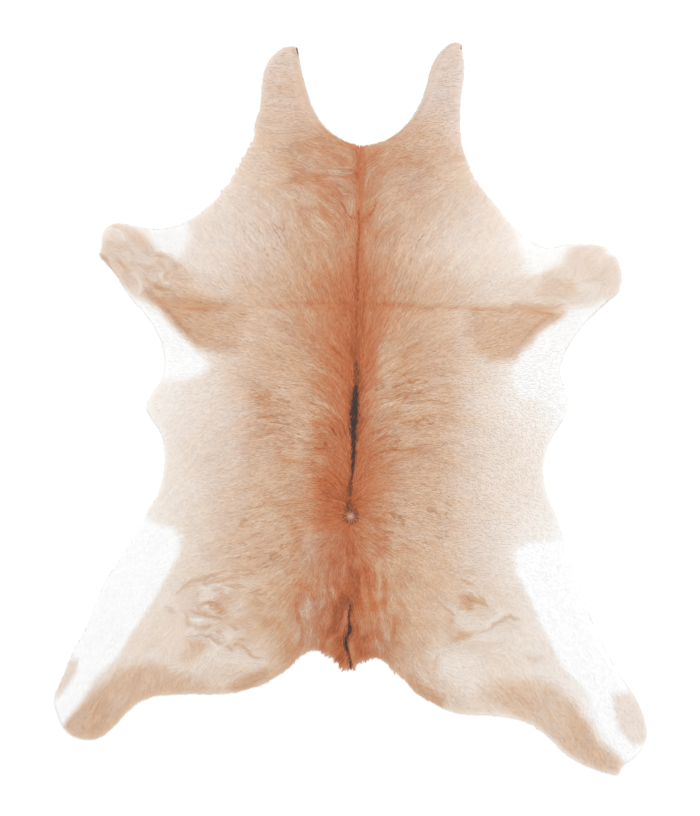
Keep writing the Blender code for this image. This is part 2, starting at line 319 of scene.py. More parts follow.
# Curls and wrinkles: how much paler or darker in tone, half width, and places along the line.
# The paler tone on crests, ridges and arcs is partly painted light, and the darker tone in hollows,
# shades, seams and wrinkles partly painted shade; the rest is the coat's own colour.
CURLS_MM = {
    "left hip crest": (-0.6, 3.0, (-239, -252), (-221, -238), (-205, -232), (-194, -230), (-179, -226)),
    "left hip upper streak": (
        -0.7, 2.4, (-203, -238), (-194, -241), (-182, -237), (-168, -232), (-155, -230),
    ),
    "left hip outer streak": (-0.7, 1.5, (-163, -222), (-144, -220), (-128, -221)),
    "left hip short streak": (-0.8, 1.5, (-145, -227), (-138, -226), (-132, -224)),
    "left hip lower streak": (-0.7, 2.4, (-175, -241), (-160, -241), (-147, -243)),
    "left hip ridge": (0.5, 1.6, (-212, -243), (-198, -245), (-186, -241), (-163, -246)),
    "left hip hollow": (-0.7, 3.0, (-189, -247), (-175, -247)),
    "left hip first hatch": (-0.7, 1.3, (-141, -254), (-132, -251), (-121, -247)),
    "left hip second hatch": (-0.8, 1.3, (-133, -257), (-122, -253), (-110, -249)),
    "left hip third hatch": (-0.7, 1.3, (-115, -259), (-108, -256), (-100, -250)),
    "left hip hook": (-0.8, 1.8, (-187, -262), (-198, -265), (-208, -268), (-205, -275)),
    "left hip pale spot": (0.6, 3.2, (-199, -270), (-194, -270)),
    "left hip upper curl": (
        0.6, 1.6, (-201, -274), (-193, -277), (-185, -280), (-171, -282), (-155, -280), (-144, -276),
    ),
    "left hip upper shade": (-0.6, 3.0, (-219, -275), (-209, -279), (-198, -281), (-185, -285), (-178, -287)),
    "left hip curl": (0.35, 3.2, (-219, -281), (-212, -288), (-198, -287), (-187, -291), (-174, -294)),
    "left hip curl hollow": (-0.8, 4.6, (-225, -281), (-221, -291), (-215, -296), (-204, -299), (-191, -296)),
    "left hip short shade": (-0.5, 2.2, (-152, -302), (-158, -298), (-164, -295)),
    "left hip arc shade": (-0.7, 2.6, (-225, -313), (-208, -309), (-194, -310), (-185, -315), (-176, -321)),
    "left hip arc": (
        0.5, 1.5, (-231, -315), (-216, -313), (-197, -313), (-187, -319), (-181, -326),
        (-171, -322), (-162, -315),
    ),
    "left hip comma": (-1.0, 2.5, (-147, -322), (-141, -330), (-133, -337), (-122, -341)),
    "left hip inner spot": (-0.8, 2.6, (-183, -303), (-176, -305)),
    "left hip middle spot": (-0.7, 2.6, (-160, -321), (-153, -321)),
    "left hip outer spot": (-0.7, 3.0, (-169, -325), (-162, -328)),
    "left hip small spot": (-0.8, 2.0, (-151, -313), (-145, -314)),
    "left hip rust spot": (-0.7, 3.0, (-124, -262), (-120, -266)),
    "left thigh streak": (0.5, 1.8, (-221, -319), (-219, -328), (-221, -340)),
    "left thigh second streak": (0.5, 1.6, (-209, -320), (-210, -330), (-213, -338)),
    "left thigh smudge": (-0.6, 3.6, (-249, -271), (-242, -277)),
    "right hip first streak": (-0.6, 3.0, (148, -231), (158, -236), (166, -241)),
    "right hip second streak": (-0.5, 2.6, (152, -219), (162, -222), (171, -228)),
    "right hip line": (-0.8, 1.3, (127, -271), (135, -277), (143, -281)),
    "right hip spot": (-0.7, 3.6, (135, -284), (138, -294)),
    "right hip curl": (
        -0.8, 2.8, (173, -306), (186, -303), (200, -292), (212, -285), (221, -285), (230, -289),
    ),
    "right hip curl light": (0.3, 1.8, (171, -301), (186, -295), (203, -281), (213, -278)),
    "right hip second curl": (-0.35, 2.2, (200, -302), (208, -297), (217, -295), (230, -300)),
    "right hip short line": (-0.55, 3.0, (111, -358), (115, -346), (120, -336)),
    "right hip ridge": (0.6, 1.4, (145, -252), (155, -246), (167, -249)),
    "right thigh mark": (-0.4, 4.5, (238, -335), (248, -341), (259, -339)),
    "left rump pale tongue": (0.5, 8, (-62, -182), (-54, -196), (-48, -210)),
    "left rump rust spot": (-0.5, 6, (-50, -220), (-44, -229), (-42, -236)),
    "left rump lower rust": (-0.45, 7, (-54, -254), (-50, -262), (-48, -272)),
    "left rump pale streak": (0.45, 3.5, (-62, -250), (-59, -268), (-57, -286)),
    "left rump outer streak": (-0.6, 4.5, (-74, -262), (-72, -278), (-67, -292), (-65, -305)),
    "left rump inner shade": (-0.45, 8, (-26, -222), (-27, -240), (-24, -258)),
    "left tail shade": (-0.4, 7, (-13, -250), (-14, -275), (-18, -300)),
    "right rump rust": (-0.55, 9, (17, -208), (24, -232), (24, -258)),
    "right rump pale streak": (0.35, 4, (38, -205), (40, -230), (38, -260), (40, -285)),
    "right rump outer rust": (-0.5, 4.5, (44, -224), (48, -245), (47, -266)),
    "right rump lower streak": (-0.45, 3.5, (57, -280), (58, -298), (56, -314)),
    "left foreleg swirl": (-0.6, 4.2, (-273, 206), (-255, 207), (-243, 203), (-239, 192), (-250, 181)),
    "left foreleg swirl light": (0.5, 3.2, (-271, 186), (-264, 190), (-257, 185), (-256, 176)),
    "left foreleg pale spot": (0.5, 3.4, (-250, 172), (-244, 170)),
    "left foreleg outer streak": (-0.7, 2.8, (-316, 203), (-308, 192), (-296, 186)),
    "left foreleg outer light": (0.5, 3.4, (-298, 186), (-287, 172), (-287, 157)),
    "left foreleg inner streak": (-0.7, 3.4, (-283, 182), (-267, 167), (-246, 161)),
    "left foreleg cap light": (0.5, 3.2, (-337, 238), (-331, 245), (-321, 244), (-312, 238), (-308, 228)),
    "left foreleg tip": (-1.0, 2.6, (-340, 210), (-334, 203), (-329, 196)),
    "left foreleg seam": (
        -0.6, 8.0, (-270, 149), (-258, 144), (-246, 142), (-224, 140), (-200, 137), (-165, 137),
    ),
    "left foreleg edge": (-0.5, 7.0, (-250, 133), (-236, 119), (-221, 101), (-206, 86)),
    "right foreleg seam": (-0.9, 6.5, (216, 137), (226, 139), (240, 136), (258, 131), (274, 128)),
    "right foreleg edge": (-0.25, 7.5, (215, 74), (230, 87), (245, 105), (263, 121)),
    "right foreleg streak": (-0.3, 3.4, (282, 176), (293, 169), (312, 170), (343, 174)),
    "right foreleg shade": (-0.35, 5.0, (347, 192), (338, 178)),
    "neck first ripple": (1.0, 1.2, (-6, 327), (2, 329), (7, 338)),
    "neck second ripple": (0.9, 1.2, (-17, 301), (-9, 292), (-1, 293)),
    "neck third ripple": (0.7, 1.2, (-28, 324), (-12, 320), (4, 321)),
    "neck ripple shade": (-0.7, 1.2, (-31, 319), (-13, 314), (3, 316)),
    "flank first wrinkle": (-0.7, 1.2, (34, 11), (62, 16), (108, 29)),
    "flank second wrinkle": (-0.9, 1.2, (72, 6), (102, 10), (132, 6)),
    "flank third wrinkle": (-0.9, 1.2, (64, -22), (81, -18), (102, -16)),
    "flank fourth wrinkle": (-1.0, 1.2, (48, -56), (78, -56), (97, -52)),
    "left rib first wrinkle": (-1.1, 1.2, (-56, 10), (-45, 3)),
    "left rib second wrinkle": (-1.0, 1.3, (-51, -54), (-31, -54)),
    "left rib third wrinkle": (-0.8, 1.2, (-98, -148), (-81, -147)),
}
CURL_PULL = 5 * MM
CURL_PULL_MARGIN = 3 * CURL_PULL
SHORTEST_LAY = 1e-6
SPANS_PER_PIECE = 6
STROKE_END_SHARE = 0.4


def smooth_noise(x, y, cell, seed):
    """Random values on a square net of cells, blended by smooth steps between them, -1 to 1."""
    net = np.random.default_rng(seed).uniform(-1.0, 1.0, (NOISE_CELLS, NOISE_CELLS))
    column, row = np.floor(x / cell), np.floor(y / cell)
    u, v = x / cell - column, y / cell - row
    u, v = u * u * (3 - 2 * u), v * v * (3 - 2 * v)
    c, r = column.astype(int) % NOISE_CELLS, row.astype(int) % NOISE_CELLS
    return blended(net, r, (r + 1) % NOISE_CELLS, v, c, (c + 1) % NOISE_CELLS, u)


def from_spine(x, y):
    """How far each place is to the right of the spine at its own height, less than 0 to its left."""
    heights = np.array([place[0] for place in SPINE_MM])[::-1] * MM
    sideways = np.array([place[1] for place in SPINE_MM])[::-1] * MM
    return x - np.interp(y, heights, sideways)


def from_table(distance, y, columns, rows):
    """Reads a table at a distance from the spine and a height on the skin, in between its entries.

    The columns are distances and the keys of the rows are heights. It blends the two nearest
    rows by how near each is, and the two nearest columns likewise.
    """
    heights = np.array(sorted(rows)) * MM
    table = np.array([rows[key] for key in sorted(rows)], float)
    row = np.interp(y, heights, np.arange(len(heights)))
    column = np.interp(distance, np.array(columns) * MM, np.arange(len(columns)))
    r = np.clip(row.astype(int), 0, table.shape[0] - 2)
    c = np.clip(column.astype(int), 0, table.shape[1] - 2)
    return blended(table, r, r + 1, row - r, c, c + 1, column - c)


def near_places(x, y, places):
    """The most that any place in a table gives.

    A place gives its strength times e to minus the fourth power of distance over reach.
    """
    total = np.zeros_like(x)
    for across, along, reach, strength in places.values():
        far = np.hypot(x - across * MM, y - along * MM) / (reach * MM)
        total = np.maximum(total, strength * np.exp(-(far**4)))
    return total


def smooth_stroke(half_width, *places):
    """A smooth curve through places in millimetres: x, y and half width in metres, row by row.

    Each span leaves and reaches its ends along half the way between their neighbours. The half
    width follows half a sine wave, from a share of the full one at both ends.
    """
    marks = np.array(places, float) * MM
    padded = np.vstack([2 * marks[0] - marks[1], marks, 2 * marks[-1] - marks[-2]])
    slope = (padded[2:] - padded[:-2]) / 2
    u = np.linspace(0.0, 1.0, SPANS_PER_PIECE + 1)[None, :, None]
    p, q = marks[:-1, None], marks[1:, None]
    leave, reach = slope[:-1, None], slope[1:, None]
    curve = (2 * u**3 - 3 * u**2 + 1) * p + (u**3 - 2 * u**2 + u) * leave
    curve = curve + (3 * u**2 - 2 * u**3) * q + (u**3 - u**2) * reach
    curve = np.vstack([curve[:, :-1].reshape(-1, 2), marks[-1:]])
    swell = np.sin(np.pi * np.linspace(0.0, 1.0, len(curve)))
    width = half_width * MM * (STROKE_END_SHARE + (1 - STROKE_END_SHARE) * swell)
    return np.column_stack([curve, width])


def near_stroke(x, y, stroke):
    """For each place, the gap to a stroke's nearest span, and its half width and heading there.

    The nearest point of a span is at the share of it where a right angle drops from the place,
    and the half width is blended by that share.
    """
    starts, span = stroke[:-1], np.diff(stroke, axis=0)
    away_x, away_y = x[..., None] - starts[:, 0], y[..., None] - starts[:, 1]
    share = (away_x * span[:, 0] + away_y * span[:, 1]) / (span[:, :2] ** 2).sum(1)
    share = np.clip(share, 0.0, 1.0)
    gap = np.hypot(away_x - share * span[:, 0], away_y - share * span[:, 1])
    nearest = gap.argmin(-1)
    share = np.take_along_axis(share, nearest[..., None], -1)[..., 0]
    heading = span[nearest, :2] / np.linalg.norm(span[nearest, :2], axis=-1)[..., None]
    return gap.min(-1), starts[nearest, 2] + share * span[nearest, 2], heading


def window_round(x, y, line, margin):
    """The part of a net that lies within a margin of a line, as two slices."""
    low, high = line[:, :2].min(0) - margin, line[:, :2].max(0) + margin
    columns = np.flatnonzero((x[0] > low[0]) & (x[0] < high[0]))
    rows = np.flatnonzero((y[:, 0] > low[1]) & (y[:, 0] < high[1]))
    return slice(rows[0], rows[-1] + 1), slice(columns[0], columns[-1] + 1)


def lay_net(x, y):
    """Which way the hair points at each place of a net, as a unit vector, and how near a curl is.

    The rise from the table is an angle above straight outwards. It is turned a little by noise
    everywhere and more where the coat curls. A curl draws the hair along itself by a share of e
    to minus the square of gap over pull.
    """
    off = from_spine(x, y)
    rise = from_table(np.abs(off), y, LAY_DISTANCE_MM, LAY_RISE_DEGREES)
    rise = rise + RUFFLE_DEGREES * smooth_noise(x, y, *RUFFLE_NOISE)
    rise = rise + FINE_RUFFLE_DEGREES * smooth_noise(x, y, *FINE_RUFFLE_NOISE)
    curly = near_places(x, y, CURLY_PLACES_MM)
    rise = rise + CURL_DEGREES * curly * smooth_noise(x, y, *CURL_NOISE)
    rise = np.radians(rise)
    dx = np.where(off < 0, -1.0, 1.0) * np.cos(rise)
    dy = np.sin(rise)
    beside = np.zeros_like(x)
    for _, stroke in curls:
        window = window_round(x, y, stroke, CURL_PULL_MARGIN)
        gap, _, heading = near_stroke(x[window], y[window], stroke)
        near = np.exp(-((gap / CURL_PULL) ** 2))
        way = heading[..., 0] * dx[window] + heading[..., 1] * dy[window]
        pull = near * np.where(way < 0, -1.0, 1.0)
        dx[window] = dx[window] * (1 - near) + heading[..., 0] * pull
        dy[window] = dy[window] * (1 - near) + heading[..., 1] * pull
        beside[window] = np.maximum(beside[window], near)
    length = np.hypot(dx, dy)
    return dx / length, dy / length, beside


def lay_of_hair(x, y):
    """Which way the hair points at each place, read from the net and made a unit vector again."""
    dx, dy = read_net(lay_x, x, y), read_net(lay_y, x, y)
    length = np.maximum(np.hypot(dx, dy), SHORTEST_LAY)
    return dx / length, dy / length


curls = [(shift, smooth_stroke(*line)) for shift, *line in CURLS_MM.values()]
lay_x, lay_y, beside_curl = lay_net(net_x, net_y)

# Markings. The coat goes from rust and black along the spine through tan and fawn to white on
# the belly and legs. Tones run from 0, black, to 10, white. Painted light and shade are added to
# the tones on the ripples, wrinkles, curls and fold.
TONE_COLOURS = {
    1.2: (52, 42, 38),
    2.0: (112, 62, 40),
    2.9: (185, 101, 59),
    4.2: (194, 132, 94),
    5.3: (201, 162, 132),
    6.0: (209, 176, 149),
    6.6: (214, 184, 160),
    7.5: (221, 201, 184),
    8.2: (228, 213, 200),
    8.8: (234, 223, 214),
    9.3: (238, 232, 225),
    9.55: (241, 240, 239),
    10.0: (249, 249, 249),
}
# How far from the spine the coat reaches each of these tones, on either side.
BAND_TONES = (3.4, 4.4, 5.6, 6.2, 6.9, 8.0, 9.1)
LEFT_BANDS_MM = {
    500: (0, 1, 10, 30, 60, 190, 320),
    400: (0, 4, 34, 68, 155, 260, 345),
    350: (0, 12, 94, 112, 130, 195, 300),
    283: (0, 12, 86, 100, 124, 180, 330),
    215: (0, 10, 78, 95, 122, 180, 290),
    147: (6, 55, 104, 126, 165, 215, 270),
    80: (20, 46, 98, 130, 156, 190, 232),
    11: (20, 40, 58, 142, 154, 186, 250),
    -57: (28, 50, 68, 138, 150, 206, 270),
    -125: (34, 51, 86, 134, 151, 204, 268),
    -165: (28, 50, 82, 136, 166, 206, 260),
    -193: (4, 30, 90, 136, 178, 207, 252),
    -261: (3, 40, 91, 119, 148, 222, 285),
    -320: (16, 56, 94, 101, 110, 200, 420),
    -500: (12, 34, 96, 104, 118, 225, 310),
}
RIGHT_BANDS_MM = {
    500: (0, 1, 10, 30, 60, 170, 300),
    400: (0, 12, 50, 64, 96, 200, 310),
    350: (0, 5, 82, 110, 132, 200, 300),
    283: (0, 1, 56, 94, 121, 176, 265),
    215: (0, 8, 48, 60, 84, 142, 218),
    147: (3, 27, 90, 104, 136, 200, 262),
    80: (15, 38, 100, 124, 136, 184, 222),
    11: (12, 25, 62, 134, 144, 166, 206),
    -57: (16, 36, 66, 120, 139, 180, 262),
    -125: (27, 44, 74, 107, 134, 184, 262),
    -165: (10, 31, 62, 100, 134, 184, 236),
    -193: (19, 40, 59, 98, 136, 184, 225),
    -261: (18, 42, 68, 88, 134, 202, 266),
    -320: (4, 46, 84, 96, 110, 172, 285),
    -345: (4, 40, 66, 77, 92, 182, 290),
    -500: (10, 32, 54, 66, 88, 160, 260),
}
SPINE_TONE = 2.8
SPINE_HALF_WIDTH = 0.5 * MM
THINNEST_BAND = 0.1 * MM
FAR_TONE = 9.6
FAR_MM = 60
# Patches, in the order in which they are laid on: tone, softness of the border, and outline.
PATCHES_MM = {
    "left foreleg": (
        7.4, 9, (-344, 262), (-314, 254), (-276, 232), (-236, 194), (-171, 170),
        (-171, 147), (-273, 147), (-314, 161), (-370, 202),
    ),
    "left foreleg, lower part": (
        6.8, 12, (-311, 199), (-273, 207), (-238, 199), (-216, 180), (-219, 152),
        (-260, 147), (-292, 158),
    ),
    "right foreleg": (
        8.1, 9, (293, 221), (355, 235), (390, 188), (365, 150), (285, 135),
        (203, 147), (176, 163), (203, 177), (257, 180), (285, 199),
    ),
    "right foreleg, inner part": (7.4, 10, (258, 188), (296, 192), (308, 152), (262, 145)),
    "left of the fold": (
        5.7, 8, (-280, 158), (-254, 163), (-222, 160), (-198, 151), (-160, 147),
        (-142, 136), (-146, 80),
        (-179, 76), (-208, 80), (-232, 102), (-262, 136),
    ),
    "right of the fold": (
        6.2, 9, (158, 139), (230, 140), (284, 139), (290, 125), (256, 103),
        (234, 81), (222, 66), (200, 65), (183, 62), (165, 79),
    ),
    "left armpit": (
        9.85, 10, (-296, 147), (-264, 131), (-236, 105), (-204, 77), (-192, 62),
        (-202, 46), (-226, 38), (-300, 38), (-310, 106),
    ),
    "right armpit": (
        9.65, 6, (326, 135), (293, 125), (271, 110), (253, 95), (241, 78),
        (225, 65), (219, 41), (230, 16), (339, 11), (366, 106),
    ),
    "left foreleg, upper side": (
        9.6, 8, (-280, 242), (-273, 227), (-260, 212), (-238, 203), (-226, 214),
        (-216, 227), (-221, 253), (-253, 276), (-276, 263),
    ),
    "right foreleg, upper side": (
        9.65, 12, (222, 238), (229, 208), (238, 191), (257, 181), (275, 191), (286, 202),
        (298, 219), (285, 249), (244, 263),
    ),
    "left foreleg cap": (
        8.3, 8, (-346, 242), (-330, 250), (-310, 241), (-302, 228), (-318, 226), (-340, 232),
    ),
    "right foreleg cap": (9.2, 4, (340, 216), (353, 218), (361, 208), (350, 204)),
    "left hind leg": (
        6.5, 11, (-150, -392), (-205, -402), (-273, -410), (-321, -440), (-355, -470),
        (-410, -445), (-375, -418), (-348, -383), (-314, -354), (-275, -345), (-232, -362), (-175, -382),
    ),
    "right hind leg": (
        7.1, 11, (176, -396), (203, -404), (244, -430), (305, -480), (353, -510),
        (380, -481), (330, -452), (306, -402), (270, -370), (215, -368), (176, -380),
    ),
    "left leg end": (
        6.1, 9, (-393, -428), (-368, -405), (-345, -390), (-325, -400), (-325, -422),
        (-348, -460), (-382, -460),
    ),
    "right leg end": (
        6.6, 12, (302, -419), (321, -427), (351, -476), (343, -490), (313, -468), (297, -445),
    ),
    "right leg streak": (6.7, 8, (200, -383), (230, -389), (257, -403), (244, -411), (203, -400)),
    "left hind leg, upper side": (
        9.93, 5, (-287, -145), (-249, -159), (-228, -174), (-232, -201), (-270, -264),
        (-303, -315), (-315, -337), (-345, -363), (-368, -401), (-391, -430), (-436, -424),
        (-396, -288), (-314, -179),
    ),
    "right hind leg, upper side": (
        10.0, 5, (296, -181), (244, -181), (222, -196), (228, -234), (257, -292),
        (286, -348), (323, -386), (337, -427), (369, -479), (428, -479), (394, -315), (326, -207),
    ),
    "left fawn spot": (
        8.2, 4, (-400, -345), (-371, -343), (-374, -359), (-387, -379), (-402, -397), (-420, -383),
    ),
    "right fawn spot": (
        8.6, 6, (355, -389), (380, -383), (400, -413), (407, -454), (385, -460), (364, -435),
    ),
    "left pale hollow": (
        8.1, 13, (-205, -336), (-164, -326), (-121, -336), (-104, -348), (-151, -354), (-198, -354),
    ),
    "right pale hollow": (
        8.6, 16, (109, -335), (142, -326), (176, -336), (192, -356), (162, -392), (122, -368),
    ),
    "left hem": (
        5.6, 7, (-160, -374), (-136, -361), (-103, -348), (-91, -365), (-121, -392), (-158, -395),
    ),
    "right hem": (
        5.2, 7, (55, -356), (79, -363), (103, -378), (128, -394), (124, -412), (101, -408), (66, -395),
    ),
    "left of the neck": (5.0, 14, (-85, 358), (-45, 368), (-33, 312), (-68, 300)),
    "right of the neck": (5.3, 13, (80, 348), (112, 345), (112, 318), (85, 312)),
    "left rib": (
        5.15, 15, (-130, 26), (-104, 30), (-98, -10), (-84, -34), (-76, -70),
        (-80, -110), (-96, -96), (-110, -56), (-126, -16),
    ),
    "right fawn band": (5.6, 9, (36, 84), (60, 88), (66, 50), (66, 10), (58, -8), (42, 0), (38, 40)),
    "rust by the whorl": (3.1, 12, (-38, -86), (-22, -100), (-14, -138), (-32, -150), (-41, -120)),
    "tail tip": (2.9, 6, (-20, -334), (8, -334), (11, -350), (0, -360), (-12, -354)),
    "pale right of the tail line": (4.9, 8, (18, -277), (45, -277), (51, -315), (29, -321), (18, -305)),
    "rust left of the tail line": (
        2.6, 8, (-23, -269), (-6, -266), (-6, -302), (-12, -337), (-25, -332), (-24, -299),
    ),
    "rust right of the tail line": (2.7, 7, (2, -307), (15, -310), (18, -337), (2, -340)),
    "left hip brown": (
        6.2, 2.5, (-192, -264), (-177, -260), (-174, -270), (-164, -278),
        (-151, -278), (-166, -283), (-180, -281), (-186, -273),
    ),
    "right hip brown": (
        5.9, 2, (145, -254), (162, -251), (172, -258), (178, -256), (187, -270), (181, -270),
        (171, -266), (164, -266), (161, -275), (147, -275), (152, -268), (145, -260),
    ),
    "right hip wedge": (
        6.4, 2.5, (130, -321), (146, -302), (157, -307), (168, -303), (160, -312), (146, -317),
    ),
    "left hip cloud": (6.8, 7, (-220, -320), (-200, -317), (-190, -326), (-202, -336), (-228, -344)),
    "left of the tail": (
        5.2, 5, (-130, -283), (-118, -292), (-106, -300), (-94, -296), (-94, -279), (-112, -283),
    ),
}
# Lines where the coat parts or turns dark: the tone, half width, and places along the line.
PARTINGS_MM = {
    "upper neck parting": (3.7, 2.2, (14, 356), (17, 330), (16, 300), (12, 268)),
    "neck parting": (2.6, 1.6, (12, 272), (11, 236), (9, 203), (8, 140), (8, 100), (7, 70)),
    "stripe halo": (2.6, 9, (8, 92), (7, 40), (5, -20), (3, -80)),
    "stripe head": (2.1, 3.6, (8, 66), (8, 50), (7, 32)),
    "black stripe": (1.1, 4.8, (7, 32), (6, 10), (4, -20), (4, -56)),
    "stripe tail": (1.2, 2.2, (4, -36), (4, -60), (3, -78), (2, -93)),
    "stripe end": (1.9, 3.0, (2, -92), (-1, -104), (-1, -118)),
    "whorl shade": (2.1, 4.2, (-1, -124), (-2, -134), (-1, -143)),
    "rear parting": (2.9, 1.5, (-1, -152), (-4, -173), (-4, -205), (-1, -241), (0, -266)),
    "tail knot": (2.2, 6.5, (-1, -259), (0, -264), (-1, -272)),
    "tail line": (1.2, 2.0, (-1, -268), (-3, -288), (-1, -303), (-7, -315), (-4, -330), (0, -347), (0, -355)),
    "collar arc": (3.3, 1.3, (-13, 282), (-6, 266), (3, 259), (13, 256), (23, 261), (30, 269), (34, 280)),
    "collar fold": (3.5, 1.0, (2, 255), (12, 252), (22, 255)),
    "left flap edge": (1.4, 1.0, (-73, 489), (-71, 480)),
    "right flap edge": (3.0, 0.8, (149, 496), (151, 488)),
}
WHORL_MM = (0, -147)
# The crease left by folding the rug across the shoulders. Its darker tone is painted shade in the
# crease, over a small real dip in the coat.
FOLD_MM = (
    3.0, (-150, 137), (-97, 138), (7, 139), (80, 137), (144, 136), (175, 135), (206, 134),
)
FOLD_PAINTED_SHADE = -0.85
PATCH_MARGIN = 3
STROKE_MARGIN = 4
# How far the borders of bands and patches are moved along the hair.
BORDER_SHIFT = 3 * MM
BORDER_NOISE = (9 * MM, 11)
BROAD_BORDER_SHIFT = 4 * MM
BROAD_BORDER_NOISE = (26 * MM, 12)
# How far the drawn lines are moved, and partings by a share of it.
WANDER = 2 * MM
WANDER_NOISES = ((6 * MM, 36), (6 * MM, 37))
PARTING_WANDER_SHARE = 0.3
# How much each kind of marking and of painted light and shade changes the tone, and how much it
# lifts or sinks the coat.
CLOUD_CONTRAST = 0.22
CLOUD_NOISE = (34 * MM, 13)
BLOTCH_CONTRAST = 0.16
BLOTCH_NOISE = (12 * MM, 15)
MOTTLE_CONTRAST = 0.7
MOTTLE_NOISE = (19 * MM, 16)
FINE_MOTTLE_SHARE = 0.8
FINE_MOTTLE_NOISE = (8 * MM, 17)
# Ripples pale the tone on their ridges as painted light and darken it in their hollows as painted shade, and
# lift and sink the coat.
RIPPLE_PAINTED_SHADING = 0.9
RIPPLE_RELIEF = 0.4
# Wrinkles darken the tone as painted shade in their creases, and sink the coat a little.
WRINKLE_PAINTED_SHADE = 0.5
WRINKLE_RELIEF = 0.5
# Curls and the fold shift the tone by this share, partly as painted light on crests and painted shade in
# hollows and the crease.
CURL_CONTRAST = 1.5
CURL_RELIEF = 0.2
DARKEST_BROWN = 2.5
BLACKEST, WHITEST = 1.0, 10.0
# Noise shows in full from a span below the plain tone down, and by a least share near white.
PLAIN_TONE = 9.9
DEEP_SPAN = 4
LEAST_DEPTH = 0.1
# Streaks along the hair: the size of a cell, the steps each way, their length, and the seed.
WRINKLE_STREAKS = (7 * MM, 6, 5 * MM, 31)
WRINKLE_WIDTH = 0.2
WRINKLE_SHARPNESS = 1.5
WRINKLE_COVER = 0.6
WRINKLE_PATCHINESS = 0.9
WRINKLE_PATCH_NOISE = (24 * MM, 35)
RIPPLE_STREAKS = (9 * MM, 4, 4 * MM, 34)
LEAST_NEARNESS = 0.05
MOTTLED_PLACES_MM = {
    "left loin": (-60, -230, 90, 0.75),
    "right loin": (55, -235, 90, 0.85),
    "tail": (0, -310, 90, 0.6),
    "left neck": (-60, 320, 70, 0.35),
    "right neck": (80, 310, 70, 0.4),
}
# Where the coat is redder than its tone alone, and where it is greyer.
WARM_PLACES_MM = {
    "withers": (-12, 110, 65, 0.2),
    "left rump": (-92, -270, 60, 0.3),
    "right rump": (100, -255, 70, 0.6),
    "right foreleg": (284, 165, 40, 0.4),
    "left of the stripe": (-36, -100, 24, 0.5),
    "by the tail line": (21, -264, 18, 1.6),
    "above the whorl": (-6, -128, 26, 0.8),
    "left thigh": (-266, -340, 60, 0.5),
    "right thigh": (205, -372, 60, 0.7),
}
GREY_PLACES_MM = {
    "neck": (20, 350, 110, 0.5),
    "left flap": (-92, 450, 80, 0.95),
    "right flap": (130, 445, 85, 1.5),
    "right of the neck": (85, 325, 50, 0.75),
    "right of the withers": (42, 200, 45, 0.25),
    "left shoulder": (-130, 235, 75, 0.55),
    "right shoulder": (105, 225, 70, 0.45),
    "left flank": (-205, -35, 110, 0.25),
    "left ribs": (-140, -20, 60, 0.3),
    "right of the stripe": (32, -30, 36, 0.8),
    "below the whorl": (-22, -208, 42, 1.3),
    "left of the tail": (-36, -288, 46, 1.6),
    "right of the tail": (30, -318, 26, 1.3),
    "whorl": (0, -147, 10, 5.0),
}
WARMTH = 0.05
WARM_NOISE_SHARE = 0.7
WARM_NOISE = (16 * MM, 38)
WARM_SPAN = 3
RED_GAIN = 0.6
BLUE_LOSS = 1.4
# From this tone on the hair is white: it is neither warm nor grey, and doesn't pale at the rim.
WHITE_TONE = 9.5
WRINKLED_PLACES_MM = {
    "right ribs": (75, 0, 80, 0.85),
    "left ribs": (-80, -20, 75, 0.8),
    "right loin": (95, -150, 65, 0.7),
    "left loin": (-100, -170, 65, 0.9),
    "left hip": (-170, -240, 45, 1.0),
    "left shoulder": (-105, 235, 55, 0.7),
    "right shoulder": (95, 215, 55, 0.7),
}
TONE_STEP = 1.25 * MM


def band_tone(x, y):
    """The tone across the back: it runs evenly between the borders that the tables give."""
    off = from_spine(x, y)
    tones = np.array([SPINE_TONE, *BAND_TONES, FAR_TONE])
    result = np.empty_like(x)
    for side, bands in ((off < 0, LEFT_BANDS_MM), (off >= 0, RIGHT_BANDS_MM)):
        heights = np.array(sorted(bands)) * MM
        table = np.array([bands[key] for key in sorted(bands)], float) * MM
        borders = np.array([np.interp(y[side], heights, column) for column in table.T])
        spine, far = np.full_like(borders[:1], -SPINE_HALF_WIDTH), borders[-1:] + FAR_MM * MM
        borders = np.vstack([spine, borders, far])
        away = np.abs(off[side])
        last = np.clip((borders <= away).sum(0) - 1, 0, len(tones) - 2)
        pick = np.arange(away.size)
        width = np.maximum(borders[last + 1, pick] - borders[last, pick], THINNEST_BAND)
        share = np.clip((away - borders[last, pick]) / width, 0.0, 1.0)
        result[side] = tones[last] * (1 - share) + tones[last + 1] * share
    return result


def combed_noise(x, y, cell, steps, pace, seed):
    """Noise gathered along the lay of the hair, both ways, so that it forms streaks along it.

    It is the sum over all the places read, divided by the root of how many there are.
    """
    total = smooth_noise(x, y, cell, seed)
    for way in (-1, 1):
        px, py = x.copy(), y.copy()
        for _ in range(steps):
            dx, dy = lay_of_hair(px, py)
            px, py = px + way * pace * dx, py + way * pace * dy
            total = total + smooth_noise(px, py, cell, seed)
    return total / (2 * steps + 1) ** 0.5


def soft_step(value):
    """0 below -1 and 1 above 1. Between, three times the square of the share less twice its cube."""
    share = np.clip((value + 1) / 2, 0.0, 1.0)
    return share * share * (3 - 2 * share)


def base_tone(x, y):
    """The bands with the patches laid over them, each by a soft step across its border.

    Places are moved along the hair by noise before either is read, so that the borders wander
    and look combed.
    """
    dx, dy = lay_of_hair(x, y)
    along = BORDER_SHIFT * smooth_noise(x, y, *BORDER_NOISE)
    along = along + BROAD_BORDER_SHIFT * smooth_noise(x, y, *BROAD_BORDER_NOISE)
    wx, wy = x + dx * along, y + dy * along
    tone = band_tone(wx, wy)
    for goal, softness, *outline in PATCHES_MM.values():
        corners = np.array(outline, float) * MM
        window = window_round(x, y, corners, PATCH_MARGIN * softness * MM)
        past = past_outline(wx[window], wy[window], corners, np.roll(corners, -1, axis=0))
        share = soft_step(-past / (softness * MM))
        tone[window] = tone[window] * (1 - share) + goal * share
    return tone


